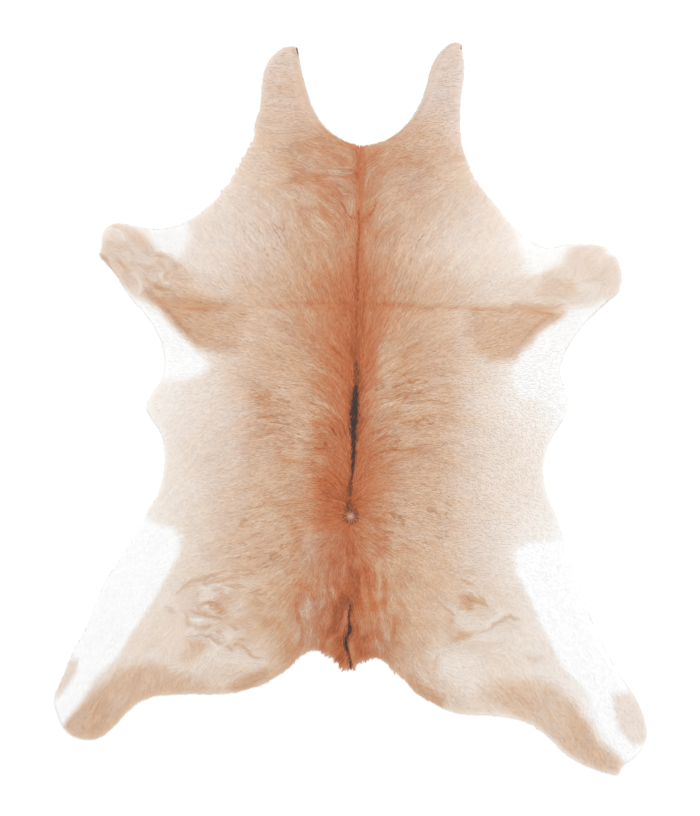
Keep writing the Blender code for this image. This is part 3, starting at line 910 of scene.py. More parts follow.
def wrinkles(x, y):
    """How much of a wrinkle each place has, in the wrinkled places: a thin line along the hair, painted dark
    as shade.

    It is 1 where long streaky noise passes 0 and falls to 0 at a set value of it, to a power,
    times the nearness of a wrinkled place and patchy noise.
    """
    result = np.zeros_like(x)
    near = near_places(x, y, WRINKLED_PLACES_MM)
    some = near > LEAST_NEARNESS
    streak = combed_noise(x[some], y[some], *WRINKLE_STREAKS)
    patchy = WRINKLE_COVER + WRINKLE_PATCHINESS * smooth_noise(x[some], y[some], *WRINKLE_PATCH_NOISE)
    line = (1 - np.minimum(np.abs(streak) / WRINKLE_WIDTH, 1.0)) ** WRINKLE_SHARPNESS
    result[some] = near[some] * np.clip(patchy, 0.0, 1.0) * line
    return result


def ripples(x, y):
    """Streaky noise, -1 to 1, where the coat curls: ridges take painted light and hollows painted shade."""
    result = np.zeros_like(x)
    near = near_places(x, y, CURLY_PLACES_MM)
    some = near > LEAST_NEARNESS
    streak = combed_noise(x[some], y[some], *RIPPLE_STREAKS)
    result[some] = near[some] * np.clip(streak, -1.0, 1.0)
    return result


def wander(x, y):
    """How far drawn lines stray at each place, along X and along Y: a set reach times noise."""
    return tuple(WANDER * smooth_noise(x, y, *noise) for noise in WANDER_NOISES)


def marking_depth(tone):
    """How much noise shows in hair of a tone: all of it in brown hair and little in white hair."""
    return np.clip((PLAIN_TONE - tone) / DEEP_SPAN, LEAST_DEPTH, 1.0)


def bells_of(strokes, x, y, wx, wy):
    """For each stroke, its value, its window on a net, and how near the moved places there are.

    The nearness is a bell curve: e to minus the square of gap over half width.
    """
    for value, stroke in strokes:
        window = window_round(x, y, stroke, STROKE_MARGIN * stroke[:, 2].max())
        gap, half_width, _ = near_stroke(wx[window], wy[window], stroke)
        yield value, window, np.exp(-((gap / half_width) ** 2))


def tone_and_painted_shade_nets(x, y):
    """The tone of the coat over a net, how much it stands up there, its ripples and its wrinkles.

    Clouds, blotches, mottling, ripples, wrinkles, curls and the fold are added to the bands and
    patches, but not past the darkest brown. The ripples, wrinkles, fold and the crests and hollows
    of curls add painted light and shade. Partings blend the tone to their own, and may be
    darker. Curls, the fold and partings fade from their middle by a bell curve.
    """
    tone = base_tone(x, y)
    depth = marking_depth(tone)
    tone = tone + depth * CLOUD_CONTRAST * smooth_noise(x, y, *CLOUD_NOISE)
    tone = tone + depth * BLOTCH_CONTRAST * smooth_noise(x, y, *BLOTCH_NOISE)
    mottled = near_places(x, y, MOTTLED_PLACES_MM)
    mottling = smooth_noise(x, y, *MOTTLE_NOISE)
    mottling = mottling + FINE_MOTTLE_SHARE * smooth_noise(x, y, *FINE_MOTTLE_NOISE)
    ripple, wrinkle = ripples(x, y), wrinkles(x, y)
    change = MOTTLE_CONTRAST * mottled * mottling + RIPPLE_PAINTED_SHADING * ripple - WRINKLE_PAINTED_SHADE * wrinkle
    tone = np.maximum(tone + depth * change, DARKEST_BROWN)
    relief = RIPPLE_RELIEF * ripple - WRINKLE_RELIEF * wrinkle
    stray_x, stray_y = wander(x, y)
    for shift, window, bell in bells_of([*curls, fold], x, y, x + stray_x, y + stray_y):
        tone[window] = tone[window] + CURL_CONTRAST * (shift * bell)
        relief[window] = relief[window] + CURL_RELIEF * (shift * bell)
    tone = np.maximum(tone, DARKEST_BROWN)
    wx, wy = x + PARTING_WANDER_SHARE * stray_x, y + PARTING_WANDER_SHARE * stray_y
    for goal, window, bell in bells_of(partings, x, y, wx, wy):
        tone[window] = tone[window] * (1 - bell) + goal * bell
    return np.clip(tone, BLACKEST, WHITEST), relief, ripple, wrinkle


def to_linear(colour):
    """From the usual 0 to 255 scale of screen colours to the even scale of light.

    It is the standard rule: a thirteenth or so near black, and above that a power of 2.4.
    """
    share = np.asarray(colour, float) / 255
    return np.where(share <= 0.04045, share / 12.92, ((share + 0.055) / 1.055) ** 2.4)


def tone_colour(tone, x, y):
    """The colour of each tone, blended between its neighbours in the table.

    Noise and the places where the coat is redder or greyer raise or lower its red part, and
    move its blue part the other way, less towards white and not at all in it.
    """
    chart = to_linear([TONE_COLOURS[key] for key in sorted(TONE_COLOURS)])
    colour = np.stack([np.interp(tone, sorted(TONE_COLOURS), channel) for channel in chart.T], axis=-1)
    warm = near_places(x, y, WARM_PLACES_MM) - near_places(x, y, GREY_PLACES_MM)
    warm = warm + WARM_NOISE_SHARE * smooth_noise(x, y, *WARM_NOISE)
    warm = WARMTH * warm * np.clip((WHITE_TONE - tone) / WARM_SPAN, 0.0, 1.0)
    colour[..., 0] = colour[..., 0] * (1 + RED_GAIN * warm)
    colour[..., 2] = colour[..., 2] * (1 - BLUE_LOSS * warm)
    return colour


partings = [(goal, smooth_stroke(*line)) for goal, *line in PARTINGS_MM.values()]
fold = (FOLD_PAINTED_SHADE, smooth_stroke(*FOLD_MM))
fine_x, fine_y = net_over_skin(TONE_STEP)
tones, relief, rippled, wrinkled = tone_and_painted_shade_nets(fine_x, fine_y)

# Hide. One tanned skin, suede below and closely covered with short underhair above, trimmed by
# hand with a knife. Where the hair runs out over the edge, the leather ends short of its tips.
HAIR_SHARE = 0.18
HIDE_STEP = 12 * MM
HIDE_ROOM_AT_RIM = 7 * MM
BARE_INSET = 0.4 * MM
HAIRY_INSET = 2.4 * MM
# Rows of even triangles lie this share of a side apart.
TRIANGLE_ROW = 0.75**0.5
SAME_PLACE = 1e-7
# Blender's number for keeping only the triangles inside the outline.
INSIDE_ONLY = 1
SUEDE_PALE = (228, 214, 197)
SUEDE_DARK = (209, 189, 166)
EDGE_PALE = (232, 226, 218)
EDGE_DARK = (205, 196, 184)
CLOUD_DETAIL = 4.0
FIBRE_DETAIL = 2.0
FIBRE_BUMP = 0.6
SHINE = 0.25


def hair_depth(x, y):
    """How deep the loose hair lies over the underhair: a share of the whole thickness."""
    return HAIR_SHARE * (read_net(coat_top, x, y) - read_net(underside, x, y))


def underhair(x, y):
    """The height of the underhair, which is the surface that the loose hair lies on."""
    return read_net(coat_top, x, y) - hair_depth(x, y)


def outward_at_rim():
    """For each point of the rim, the mean direction out of its two sides, as a unit vector."""
    span = rim_points[rim_sides[:, 1]] - rim_points[rim_sides[:, 0]]
    out = np.column_stack([span[:, 1], -span[:, 0]]) / np.linalg.norm(span, axis=1)[:, None]
    total = np.zeros_like(rim_points)
    np.add.at(total, rim_sides[:, 0], out)
    np.add.at(total, rim_sides[:, 1], out)
    length = np.linalg.norm(total, axis=1)[:, None]
    return total / np.where(length == 0, 1.0, length)


def trimmed_rim():
    """The rim moved in, least where the hair runs along it and most where it runs over it."""
    out = outward_at_rim()
    lay = np.column_stack(lay_of_hair(rim_points[:, 0], rim_points[:, 1]))
    over = np.clip((out * lay).sum(1), 0.0, 1.0)
    inset = BARE_INSET + (HAIRY_INSET - BARE_INSET) * over
    used, index = np.unique(rim_sides, return_inverse=True)
    return (rim_points - out * inset[:, None])[used], index.reshape(-1, 2)


def new_mesh(name, points, triangles):
    """A mesh from an array of points and an array of triangles."""
    mesh = bpy.data.meshes.new(name)
    mesh.vertices.add(len(points))
    mesh.vertices.foreach_set("co", points.astype(np.float32).ravel())
    mesh.loops.add(triangles.size)
    mesh.loops.foreach_set("vertex_index", triangles.astype(np.int32).ravel())
    mesh.polygons.add(len(triangles))
    mesh.polygons.foreach_set("loop_start", np.arange(0, triangles.size, 3, dtype=np.int32))
    mesh.update(calc_edges=True)
    return mesh


def lattice(step):
    """Places at the corners of even triangles over the whole box, every other row half a step on."""
    x, y = np.meshgrid(
        np.arange(low_corner.x, high_corner.x, step),
        np.arange(low_corner.y, high_corner.y, step * TRIANGLE_ROW),
    )
    return x + (np.arange(len(x)) % 2)[:, None] * step / 2, y


def hide_mesh():
    """A net of triangles over the trimmed rim and a lattice inside it, once below and once above.

    The lower points lie on the surveyed underside and the upper ones on the underhair, and a
    band of two triangles to each rim side joins them.
    """
    rim, sides = trimmed_rim()
    x, y = lattice(HIDE_STEP)
    kept = read_net(past_rim, x, y) < -HIDE_ROOM_AT_RIM
    places = np.vstack([rim, np.column_stack([x[kept], y[kept]])])
    corners, borders = [Vector(p) for p in places], [tuple(map(int, side)) for side in sides]
    flat = delaunay_2d_cdt(corners, borders, [], INSIDE_ONLY, SAME_PLACE)
    places = np.array([tuple(p) for p in flat[0]])
    upper = np.array(flat[2], int)
    a, b, c = (places[upper[:, k]] for k in range(3))
    turn = (b[:, 0] - a[:, 0]) * (c[:, 1] - a[:, 1]) - (b[:, 1] - a[:, 1]) * (c[:, 0] - a[:, 0])
    upper = np.where((turn < 0)[:, None], upper[:, ::-1], upper)
    p, q = lone_sides(upper).T
    n = len(places)
    band = np.concatenate([np.column_stack([p, q, q + n]), np.column_stack([p, q + n, p + n])])
    x, y = places.T
    below, above = read_net(underside, x, y), underhair(x, y)
    points = np.vstack([np.column_stack([places, below]), np.column_stack([places, above])])
    mesh = new_mesh("hide", points, np.concatenate([upper[:, ::-1], upper + n, band]))
    finish = np.repeat([1, 0, 2], [len(upper), len(upper), len(band)])
    mesh.polygons.foreach_set("material_index", finish.astype(np.int32))
    paint(mesh, "hair colour", np.tile(tone_colour(read_net(tones, x, y), x, y), (2, 1)))
    return mesh


def paint(mesh, name, colour):
    """Keeps a colour for each point of a mesh as an attribute."""
    attribute = mesh.attributes.new(name, "FLOAT_COLOR", "POINT")
    with_alpha = np.column_stack([colour, np.ones(len(colour))])
    attribute.data.foreach_set("color", with_alpha.astype(np.float32).ravel())


def fibre_group():
    """Cloudy noise for patches, fine noise for single fibres, and a bump and roughness from it."""
    group = bpy.data.node_groups.new("fibres", "ShaderNodeTree")
    inputs = {
        "Place": ("NodeSocketVector", None),
        "Clouds per metre": ("NodeSocketFloat", 30.0),
        "Fibres per metre": ("NodeSocketFloat", 900.0),
        "Smoothest": ("NodeSocketFloat", 0.6),
        "Roughest": ("NodeSocketFloat", 0.9),
        "Fibre height": ("NodeSocketFloat", 0.0001),
    }
    for name, (kind, value) in inputs.items():
        socket = group.interface.new_socket(name, in_out="INPUT", socket_type=kind)
        if value is not None:
            socket.default_value = value
    for name, kind in (("Clouds", "Float"), ("Roughness", "Float"), ("Normal", "Vector")):
        group.interface.new_socket(name, in_out="OUTPUT", socket_type="NodeSocket" + kind)
    nodes, links = group.nodes, group.links
    given, result = nodes.new("NodeGroupInput"), nodes.new("NodeGroupOutput")
    clouds, fibres = nodes.new("ShaderNodeTexNoise"), nodes.new("ShaderNodeTexNoise")
    clouds.inputs["Detail"].default_value = CLOUD_DETAIL
    fibres.inputs["Detail"].default_value = FIBRE_DETAIL
    span = nodes.new("ShaderNodeMapRange")
    bump = nodes.new("ShaderNodeBump")
    bump.inputs["Strength"].default_value = FIBRE_BUMP
    for source, target in (
        (given.outputs["Place"], clouds.inputs["Vector"]),
        (given.outputs["Place"], fibres.inputs["Vector"]),
        (given.outputs["Clouds per metre"], clouds.inputs["Scale"]),
        (given.outputs["Fibres per metre"], fibres.inputs["Scale"]),
        (fibres.outputs["Fac"], span.inputs["Value"]),
        (given.outputs["Smoothest"], span.inputs["To Min"]),
        (given.outputs["Roughest"], span.inputs["To Max"]),
        (fibres.outputs["Fac"], bump.inputs["Height"]),
        (given.outputs["Fibre height"], bump.inputs["Distance"]),
        (clouds.outputs["Fac"], result.inputs["Clouds"]),
        (span.outputs["Result"], result.inputs["Roughness"]),
        (bump.outputs["Normal"], result.inputs["Normal"]),
    ):
        links.new(source, target)
    return group


def fibrous_material(name, **values):
    """A matt finish whose roughness and normal come from the fibres, and those fibres' node."""
    material = bpy.data.materials.new(name)
    material.use_nodes = True
    nodes, links = material.node_tree.nodes, material.node_tree.links
    shader = nodes["Principled BSDF"]
    shader.inputs["Specular IOR Level"].default_value = SHINE
    place = nodes.new("ShaderNodeTexCoord")
    grain = nodes.new("ShaderNodeGroup")
    grain.node_tree = fibres
    for key, value in values.items():
        grain.inputs[key.replace("_", " ")].default_value = value
    links.new(place.outputs["Object"], grain.inputs["Place"])
    links.new(grain.outputs["Roughness"], shader.inputs["Roughness"])
    links.new(grain.outputs["Normal"], shader.inputs["Normal"])
    return material, grain


def leather_material(name, pale, dark, **values):
    """Leather in two near colours, cloudily mixed."""
    material, grain = fibrous_material(name, **values)
    nodes, links = material.node_tree.nodes, material.node_tree.links
    mix = nodes.new("ShaderNodeMix")
    mix.data_type = "RGBA"
    mix.inputs["A"].default_value = (*to_linear(dark), 1.0)
    mix.inputs["B"].default_value = (*to_linear(pale), 1.0)
    links.new(grain.outputs["Clouds"], mix.inputs["Factor"])
    links.new(mix.outputs["Result"], nodes["Principled BSDF"].inputs["Base Color"])
    return material


def hair_material(name, **values):
    """Hair that takes its colour from the painted attribute."""
    material, _ = fibrous_material(name, **values)
    nodes, links = material.node_tree.nodes, material.node_tree.links
    source = nodes.new("ShaderNodeAttribute")
    source.attribute_name = "hair colour"
    links.new(source.outputs["Color"], nodes["Principled BSDF"].inputs["Base Color"])
    return material


fibres = fibre_group()
mesh = hide_mesh()
mesh.materials.append(hair_material("underhair", Smoothest=0.7, Roughest=0.95, Fibre_height=0.0002))
mesh.materials.append(leather_material("suede", SUEDE_PALE, SUEDE_DARK, Clouds_per_metre=18.0, Smoothest=0.8))
mesh.materials.append(leather_material("cut edge", EDGE_PALE, EDGE_DARK, Clouds_per_metre=90.0))
mesh.shade_smooth()
hide = placed("hide", mesh)
subdivide = hide.modifiers.new("fine net", "SUBSURF")
subdivide.levels = 1
subdivide.render_levels = 1
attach(hide, "root")
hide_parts("calfskin")

# Coat. Short hair in small locks, each a closed wisp that is pointed at both ends and has a
# ridge along its back. They are rooted in the underhair and lie over one another like thatch.
ROOT_STEP = 1.98 * MM
# Even triangles with this side give each root a square of one root step to itself.
ROOT_TRIANGLE_SIDE = ROOT_STEP / 0.75**0.25
RIM_ROOT_BAND = 7 * MM
RIM_ROOT_START = 2.2 * MM
LOCK_LENGTH = 14 * MM
LOCK_WIDTH = 1.4 * MM
LOCK_RIDGE = 0.2 * MM
ROOT_SUNK = 0.3 * MM
WIDEST_AT = 0.45
HEIGHT_AT_WIDEST = 0.6
SCATTER_SHARE = 0.35
SIZE_SPREAD = (0.75, 1.25)
RIDGE_SPREAD = (0.7, 1.3)
YAW_DEGREES = 6.0
BEND_DEGREES = 8.0
LEAST_AGREEMENT = 0.7
CURLY_SHORTENING = 0.4
# How high the tips stand, as a share of the depth of the loose hair.
MEAN_STAND = 0.85
OWN_STAND = 0.12
CLUMP_STAND = 0.25
CLUMP_STREAKS = (3.5 * MM, 3, 3 * MM, 21)
STAND_LIMITS = (0.5, 1.9)
# The coat lies rough in coloured hair and calm in white hair: tones, and how rough it is there.
ROUGH_TONES = (5.5, 7.0, 9.6)
ROUGHNESS = (1.0, 0.65, 0.2)
TIP_ALLOWANCE = 1.2 * MM
LEAST_ADVANCE = 0.1 * MM
SHORTEST_CUT = 0.25
# Where the coat stands out over the rim in tufts, and how far.
TUFTY_PLACES_MM = {
    "left of the neck": (-160, 320, 95, 0.8),
    "right of the neck": (190, 300, 80, 0.5),
    "tail": (0, -345, 75, 1.2),
    "left flank": (-270, -20, 60, 0.4),
}
TUFT_REACH = 5.5 * MM
TUFT_CONTRAST = 1.6
TUFT_NOISE = (3.4 * MM, 22)
FRAY_BAND = 3 * MM
FRAY_TONE = 0.9
# How much tones differ from lock to lock, by streaks and for each alone.
STREAK_CONTRAST = 0.55
COLOUR_STREAKS = (2.2 * MM, 5, 2.4 * MM, 14)
OWN_CONTRAST = 0.28
PLAIN_STREAKS = 0.8
WRINKLED_STREAKS = 0.5
BLACK_TONES = (1.2, 2.4)
BLACK_STREAKS = (1.8, 1.0)
COAT_SEED = 7
COAT_PIECES = ("coat_neck", "coat_shoulders", "coat_ribs", "coat_loin", "coat_rump")
# The root, the left side, the ridge and the right side at the widest place, and the tip.
LOCK_POINTS = 5
RIDGE_POINT = 2
LOCK_FACES = np.array([(0, 2, 1), (0, 3, 2), (0, 1, 3), (4, 1, 2), (4, 2, 3), (4, 3, 1)])
# Across and along the flattened lock, for each corner of each face above.
LOCK_MAP = np.array([
    ((0.16, 0.0), (0.32, 0.48), (0.0, 0.48)),
    ((0.5, 0.0), (0.66, 0.48), (0.34, 0.48)),
    ((0.84, 0.0), (1.0, 0.48), (0.68, 0.48)),
    ((0.16, 1.0), (0.0, 0.52), (0.32, 0.52)),
    ((0.5, 1.0), (0.34, 0.52), (0.66, 0.52)),
    ((0.84, 1.0), (0.68, 0.52), (1.0, 0.52)),
])
CELL_MARGIN = 0.08
CELL_FILL = 0.84
# How much of its colour each point of a lock shows: painted shade at the sunk root and on the
# flanks, painted light on the ridge, and the tip lightest. In calm hair all draw in to the mean shade.
LOCK_PAINTED_SHADING = np.array([0.9, 0.96, 1.02, 0.96, 1.04])
MEAN_SHADE = 1.0
BRIGHTEST = 0.97
TONE_LAG = 4 * MM


def scattered(rng, step):
    """A lattice of places, each moved at random by up to a share of a step, and how far past the rim."""
    x, y = lattice(step)
    x = x + rng.uniform(-SCATTER_SHARE, SCATTER_SHARE, x.shape) * step
    y = y + rng.uniform(-SCATTER_SHARE, SCATTER_SHARE, y.shape) * step
    return x.ravel(), y.ravel(), read_net(past_rim, x, y).ravel()


def lock_roots(rng):
    """Roots all over the skin, and as many again in a band along the rim."""
    x, y, past = scattered(rng, ROOT_TRIANGLE_SIDE)
    within = past < -RIM_ROOT_START
    edge_x, edge_y, edge_past = scattered(rng, ROOT_TRIANGLE_SIDE)
    band = (edge_past < -RIM_ROOT_START) & (edge_past > -RIM_ROOT_BAND)
    return np.concatenate([x[within], edge_x[band]]), np.concatenate([y[within], edge_y[band]])


def within_rim(x, y, dx, dy, length, rng):
    """The lengths, cut where a tip would pass the rim by more than is allowed there.

    A little is allowed at random, either way, and more in tufts: a reach times the nearness of a
    tufty place and clumpy noise.
    """
    tip_x, tip_y = x + dx * length, y + dy * length
    root_out, tip_out = read_net(past_rim, x, y), read_net(past_rim, tip_x, tip_y)
    clump = np.clip(TUFT_CONTRAST * smooth_noise(x, y, *TUFT_NOISE), 0.0, 1.0)
    tuft = TUFT_REACH * near_places(x, y, TUFTY_PLACES_MM) * clump
    allowed = TIP_ALLOWANCE * rng.uniform(-1.0, 1.0, len(x)) + tuft
    fits = (allowed - root_out) / np.maximum(tip_out - root_out, LEAST_ADVANCE)
    return length * np.where(tip_out > allowed, np.clip(fits, SHORTEST_CUT, 1.0), 1.0)


def roughness_at(x, y):
    """How rough the coat is, read from its tone: 1 in brown hair and less in pale and white hair."""
    return np.interp(read_net(tones, x, y), ROUGH_TONES, ROUGHNESS)


def lock_shapes(x, y, lay, length, width, stand, rng):
    """The five points of each lock: its root, three at its widest place and its tip.

    It follows the given lay from its root to its widest place and from there to its tip, turned
    a little at random. The tip stands over the underhair by a share of the loose hair's depth,
    and the widest place by a share of that. Where the lay turns sharply, the lock keeps straight.
    """
    count = len(x)
    yaw = np.radians(rng.normal(0.0, YAW_DEGREES, count))
    bend = np.radians(rng.normal(0.0, BEND_DEGREES, count))

    def turned(px, py, angle):
        """The lay at a place, turned anticlockwise by an angle."""
        dx, dy = lay(px, py)
        return dx * np.cos(angle) - dy * np.sin(angle), dx * np.sin(angle) + dy * np.cos(angle)

    dx, dy = turned(x, y, yaw)
    length = within_rim(x, y, dx, dy, length, rng)
    wide_x, wide_y = x + WIDEST_AT * length * dx, y + WIDEST_AT * length * dy
    ex, ey = turned(wide_x, wide_y, yaw + bend)
    straight = dx * ex + dy * ey < LEAST_AGREEMENT
    ex, ey = np.where(straight, dx, ex), np.where(straight, dy, ey)
    tip_x, tip_y = wide_x + (1 - WIDEST_AT) * length * ex, wide_y + (1 - WIDEST_AT) * length * ey

    root_z = underhair(x, y) - ROOT_SUNK
    wide_z = underhair(wide_x, wide_y) + hair_depth(wide_x, wide_y) * HEIGHT_AT_WIDEST * stand
    tip_z = underhair(tip_x, tip_y) + hair_depth(tip_x, tip_y) * stand
    half = 0.5 * width * rng.uniform(*SIZE_SPREAD, count)
    ridge = LOCK_RIDGE * roughness_at(x, y) * rng.uniform(*RIDGE_SPREAD, count)
    root = np.column_stack([x, y, root_z])
    left = np.column_stack([wide_x - ey * half, wide_y + ex * half, wide_z])
    top = np.column_stack([wide_x, wide_y, wide_z + ridge])
    right = np.column_stack([wide_x + ey * half, wide_y - ex * half, wide_z])
    tip = np.column_stack([tip_x, tip_y, tip_z])
    return np.stack([root, left, top, right, tip], axis=1)


def coat_locks(x, y, rng):
    """Locks at the given roots, shorter where the coat curls, and higher on ridges and clumps.

    A tip stands at the mean, plus streaky clumps and a little at random times the roughness,
    plus the relief of ripples, wrinkles and curls, within limits.
    """
    detail = np.maximum(read_net(beside_curl, x, y), near_places(x, y, CURLY_PLACES_MM))
    length = LOCK_LENGTH * rng.uniform(*SIZE_SPREAD, len(x)) * (1 - CURLY_SHORTENING * detail)
    stand = CLUMP_STAND * combed_noise(x, y, *CLUMP_STREAKS)
    stand = stand + rng.uniform(-OWN_STAND, OWN_STAND, len(x))
    stand = MEAN_STAND + roughness_at(x, y) * stand + read_net(relief, x, y)
    return lock_shapes(x, y, lay_of_hair, length, LOCK_WIDTH, np.clip(stand, *STAND_LIMITS), rng)


def coat_tones(points, rng):
    """The tone at each point of each lock.

    It is read a little way back along the lock, so that borders look combed, and moved for the
    whole lock by streaky noise and a little at random. That counts less in pale hair, and more in
    wrinkled places and in the black stripe. Hair over the rim is paler, unless it is white. No
    point gets darker than the darkest brown, or than its own place where that is darker still.
    """
    root, tip = points[:, 0], points[:, 4]
    back = (root - tip)[:, None, :2] / np.linalg.norm(root - tip, axis=1)[:, None, None]
    lag = TONE_LAG * rng.uniform(0.0, 1.0, len(points)) * (1 - read_net(beside_curl, *root[:, :2].T))
    places = points[:, :, :2] + back * lag[:, None, None]
    tone = read_net(tones, places[..., 0], places[..., 1])
    streak = combed_noise(root[:, 0], root[:, 1], *COLOUR_STREAKS)
    own = STREAK_CONTRAST * streak + rng.normal(0.0, OWN_CONTRAST, len(points))
    wrinkly = near_places(*root[:, :2].T, WRINKLED_PLACES_MM)
    own = own * (PLAIN_STREAKS + WRINKLED_STREAKS * wrinkly)
    own = own * np.interp(read_net(tones, *root[:, :2].T), BLACK_TONES, BLACK_STREAKS)
    frayed = np.clip(1 + read_net(past_rim, points[..., 0], points[..., 1]) / FRAY_BAND, 0.0, 1.0)
    frayed = frayed * np.clip(WHITE_TONE - tone, 0.0, 1.0)
    moved = tone + marking_depth(tone) * own[:, None] + FRAY_TONE * frayed
    return np.clip(moved, np.minimum(tone, DARKEST_BROWN), WHITEST)


def coat_piece(name, points, tone, shade, finish):
    """Joins locks into one mesh, each with its own cell of the UV map, and puts it on the hide.

    A point's colour is its tone's colour, times the lock's painted light and shade at that point,
    times the shade given for the lock, which for the wrinkle and rim hairs is painted shade. The
    lower sides of a lock are sharp, and its ridge is smooth.
    """
    count = len(points)
    faces = (LOCK_FACES[None] + LOCK_POINTS * np.arange(count)[:, None, None]).reshape(-1, 3)
    mesh = new_mesh(name, points.reshape(-1, 3), faces)
    cells = int(np.ceil(count**0.5))
    corner = np.column_stack([np.arange(count) % cells, np.arange(count) // cells])
    spread = (corner[:, None, None, :] + CELL_MARGIN + CELL_FILL * LOCK_MAP[None]) / cells
    layer = mesh.uv_layers.new(name="OFBake")
    layer.uv.foreach_set("vector", spread.astype(np.float32).ravel())
    rough = roughness_at(points[:, 0, 0], points[:, 0, 1])[:, None, None]
    # Each lock is painted darker at its root and flanks and lighter on its ridge, as light and shade.
    painted_lock_shading = MEAN_SHADE + (LOCK_PAINTED_SHADING[None, :, None] - MEAN_SHADE) * rough
    colour = tone_colour(tone, points[..., 0], points[..., 1]) * painted_lock_shading
    colour = np.clip(colour * shade[:, None, None], 0.0, BRIGHTEST)
    paint(mesh, "hair colour", colour.reshape(-1, 3))
    mesh.shade_smooth()
    ends = np.empty(len(mesh.edges) * 2, np.int32)
    mesh.edges.foreach_get("vertices", ends)
    flank = (ends.reshape(-1, 2) % LOCK_POINTS != RIDGE_POINT).all(1)
    mesh.edges.foreach_set("use_edge_sharp", flank)
    mesh.materials.append(finish)
    piece = placed(name, mesh)
    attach(piece, "root")
    return piece


rng = np.random.default_rng(COAT_SEED)
short_hair = hair_material("short hair", Smoothest=0.5, Roughest=0.7, Fibre_height=0.00005)
root_x, root_y = lock_roots(rng)
locks = coat_locks(root_x, root_y, rng)
lock_tones = coat_tones(locks, rng)
downwards = np.argsort(-root_y)
coat = [
    coat_piece(name, locks[members], lock_tones[members], np.ones(len(members)), short_hair)
    for name, members in zip(COAT_PIECES, np.array_split(downwards, len(COAT_PIECES)))
]

# Marking hairs. Finer hairs lie on top along the curls, the partings and the black stripe, in
# the wrinkles and on the ripples; those in the wrinkles are darkened as painted shade and those
# on the ripple crests paled as a painted highlight. A ring of them lies round the pale whorl on the
# loin, and a thin grey line of them along the rim of the white hair is a painted shadow.
LINE_HAIR_LENGTH = 6.5 * MM
LINE_HAIR_WIDTH = 1.0 * MM
LINE_HAIRS_PER_MM2 = 0.7
WIDEST_LINE = 5 * MM
ACROSS_SPREAD = 0.5
LINE_LENGTH_SPREAD = (0.7, 1.3)
LINE_STAND = 1.15
LINE_STAND_SPREAD = 0.15
# Curl hairs take this share of their curl's shift: partly painted light on crests and painted shade in
# hollows.
CURL_HAIR_SHIFT = 0.2
PARTING_TONE_SPREAD = 0.3
WRINKLE_STEP = 1.5 * MM
WRINKLE_LEAST = 0.36
# Hairs in the wrinkles are darkened in tone and colour as painted shade in the creases.
WRINKLE_HAIR_SHADE_SHIFT = -0.9
WRINKLE_HAIR_PAINTED_SHADE = 0.9
# Hairs on the ripple crests are paler in tone as a painted highlight.
RIPPLE_LEAST = 0.6
RIPPLE_HAIR_HIGHLIGHT = 0.25
WHORL_HAIRS = 430
WHORL_REACH = 10 * MM
WHORL_TONES = (5.5, 2.5)
WHORL_SPAN = (0.1 * WHORL_REACH, 0.65 * WHORL_REACH)
WHORL_TONE_SPREAD = 0.6
# Where a thin grey line of hairs edges the white hair at the rim, as a painted shadow.
RIM_SHADOW_PLACES_MM = {
    "right armpit": (325, 108, 66, 1.0),
    "left of the neck": (-245, 250, 50, 0.9),
    "right of the neck": (275, 222, 66, 0.9),
    "left of the neck opening": (-50, 405, 55, 0.4),
    "right of the neck opening": (98, 415, 55, 0.4),
}
RIM_SHADOW_HAIRS_PER_MM = 0.8
RIM_SHADOW_INSET = 0.2 * MM
RIM_SHADOW_TONE = 9.6
RIM_SHADOW_TONE_SPREAD = 0.1
RIM_SHADOW_DARKENING = 0.82


def line_hairs(lines, share, rng):
    """Places scattered along lines, the direction of the line at each, and its line's value.

    Each line has as many as its area asks for. They are spread across it by a bell curve that is
    a share of its half width, and stray with the line by the given share.
    """
    places, headings, values = [], [], []
    for value, stroke in lines:
        span = np.diff(stroke[:, :2], axis=0)
        length = np.linalg.norm(span, axis=1)
        area = 2 * length * stroke[:-1, 2]
        count = int(LINE_HAIRS_PER_MM2 * area.sum() / MM**2)
        pick = rng.choice(len(span), count, p=area / area.sum())
        heading = span[pick] / length[pick, None]
        across = rng.normal(0.0, ACROSS_SPREAD, count) * stroke[pick, 2]
        aside = np.column_stack([-heading[:, 1], heading[:, 0]]) * across[:, None]
        place = stroke[pick, :2] + rng.uniform(0.0, 1.0, (count, 1)) * span[pick] + aside
        places.append(place - share * np.column_stack(wander(*place.T)))
        headings.append(heading)
        values.append(np.full(count, value))
    return np.concatenate(places), np.concatenate(headings), np.concatenate(values)


def rim_shadow_places(rng):
    """Places just inside the rim where a painted shadow line edges the white hair, and the heading of the
    rim.

    A side of the rim gets them by its length times the nearness of a place in the table.
    """
    starts = rim_points[rim_sides[:, 0]]
    span = rim_points[rim_sides[:, 1]] - starts
    length = np.linalg.norm(span, axis=1)
    wanted = length * near_places(*(starts + span / 2).T, RIM_SHADOW_PLACES_MM)
    count = int(RIM_SHADOW_HAIRS_PER_MM * wanted.sum() / MM)
    pick = rng.choice(len(span), count, p=wanted / wanted.sum())
    heading = span[pick] / length[pick, None]
    inward = np.column_stack([-heading[:, 1], heading[:, 0]]) * RIM_SHADOW_INSET
    return starts[pick] + rng.uniform(0.0, 1.0, (count, 1)) * span[pick] + inward, heading


def hairs_where(net, least, rng):
    """Places where a net is over a limit, and the lay of the hair at each."""
    x, y, past = scattered(rng, WRINKLE_STEP)
    kept = (past < -LINE_HAIR_LENGTH) & (read_net(net, x, y) > least)
    return np.column_stack([x[kept], y[kept]]), np.column_stack(lay_of_hair(x[kept], y[kept]))


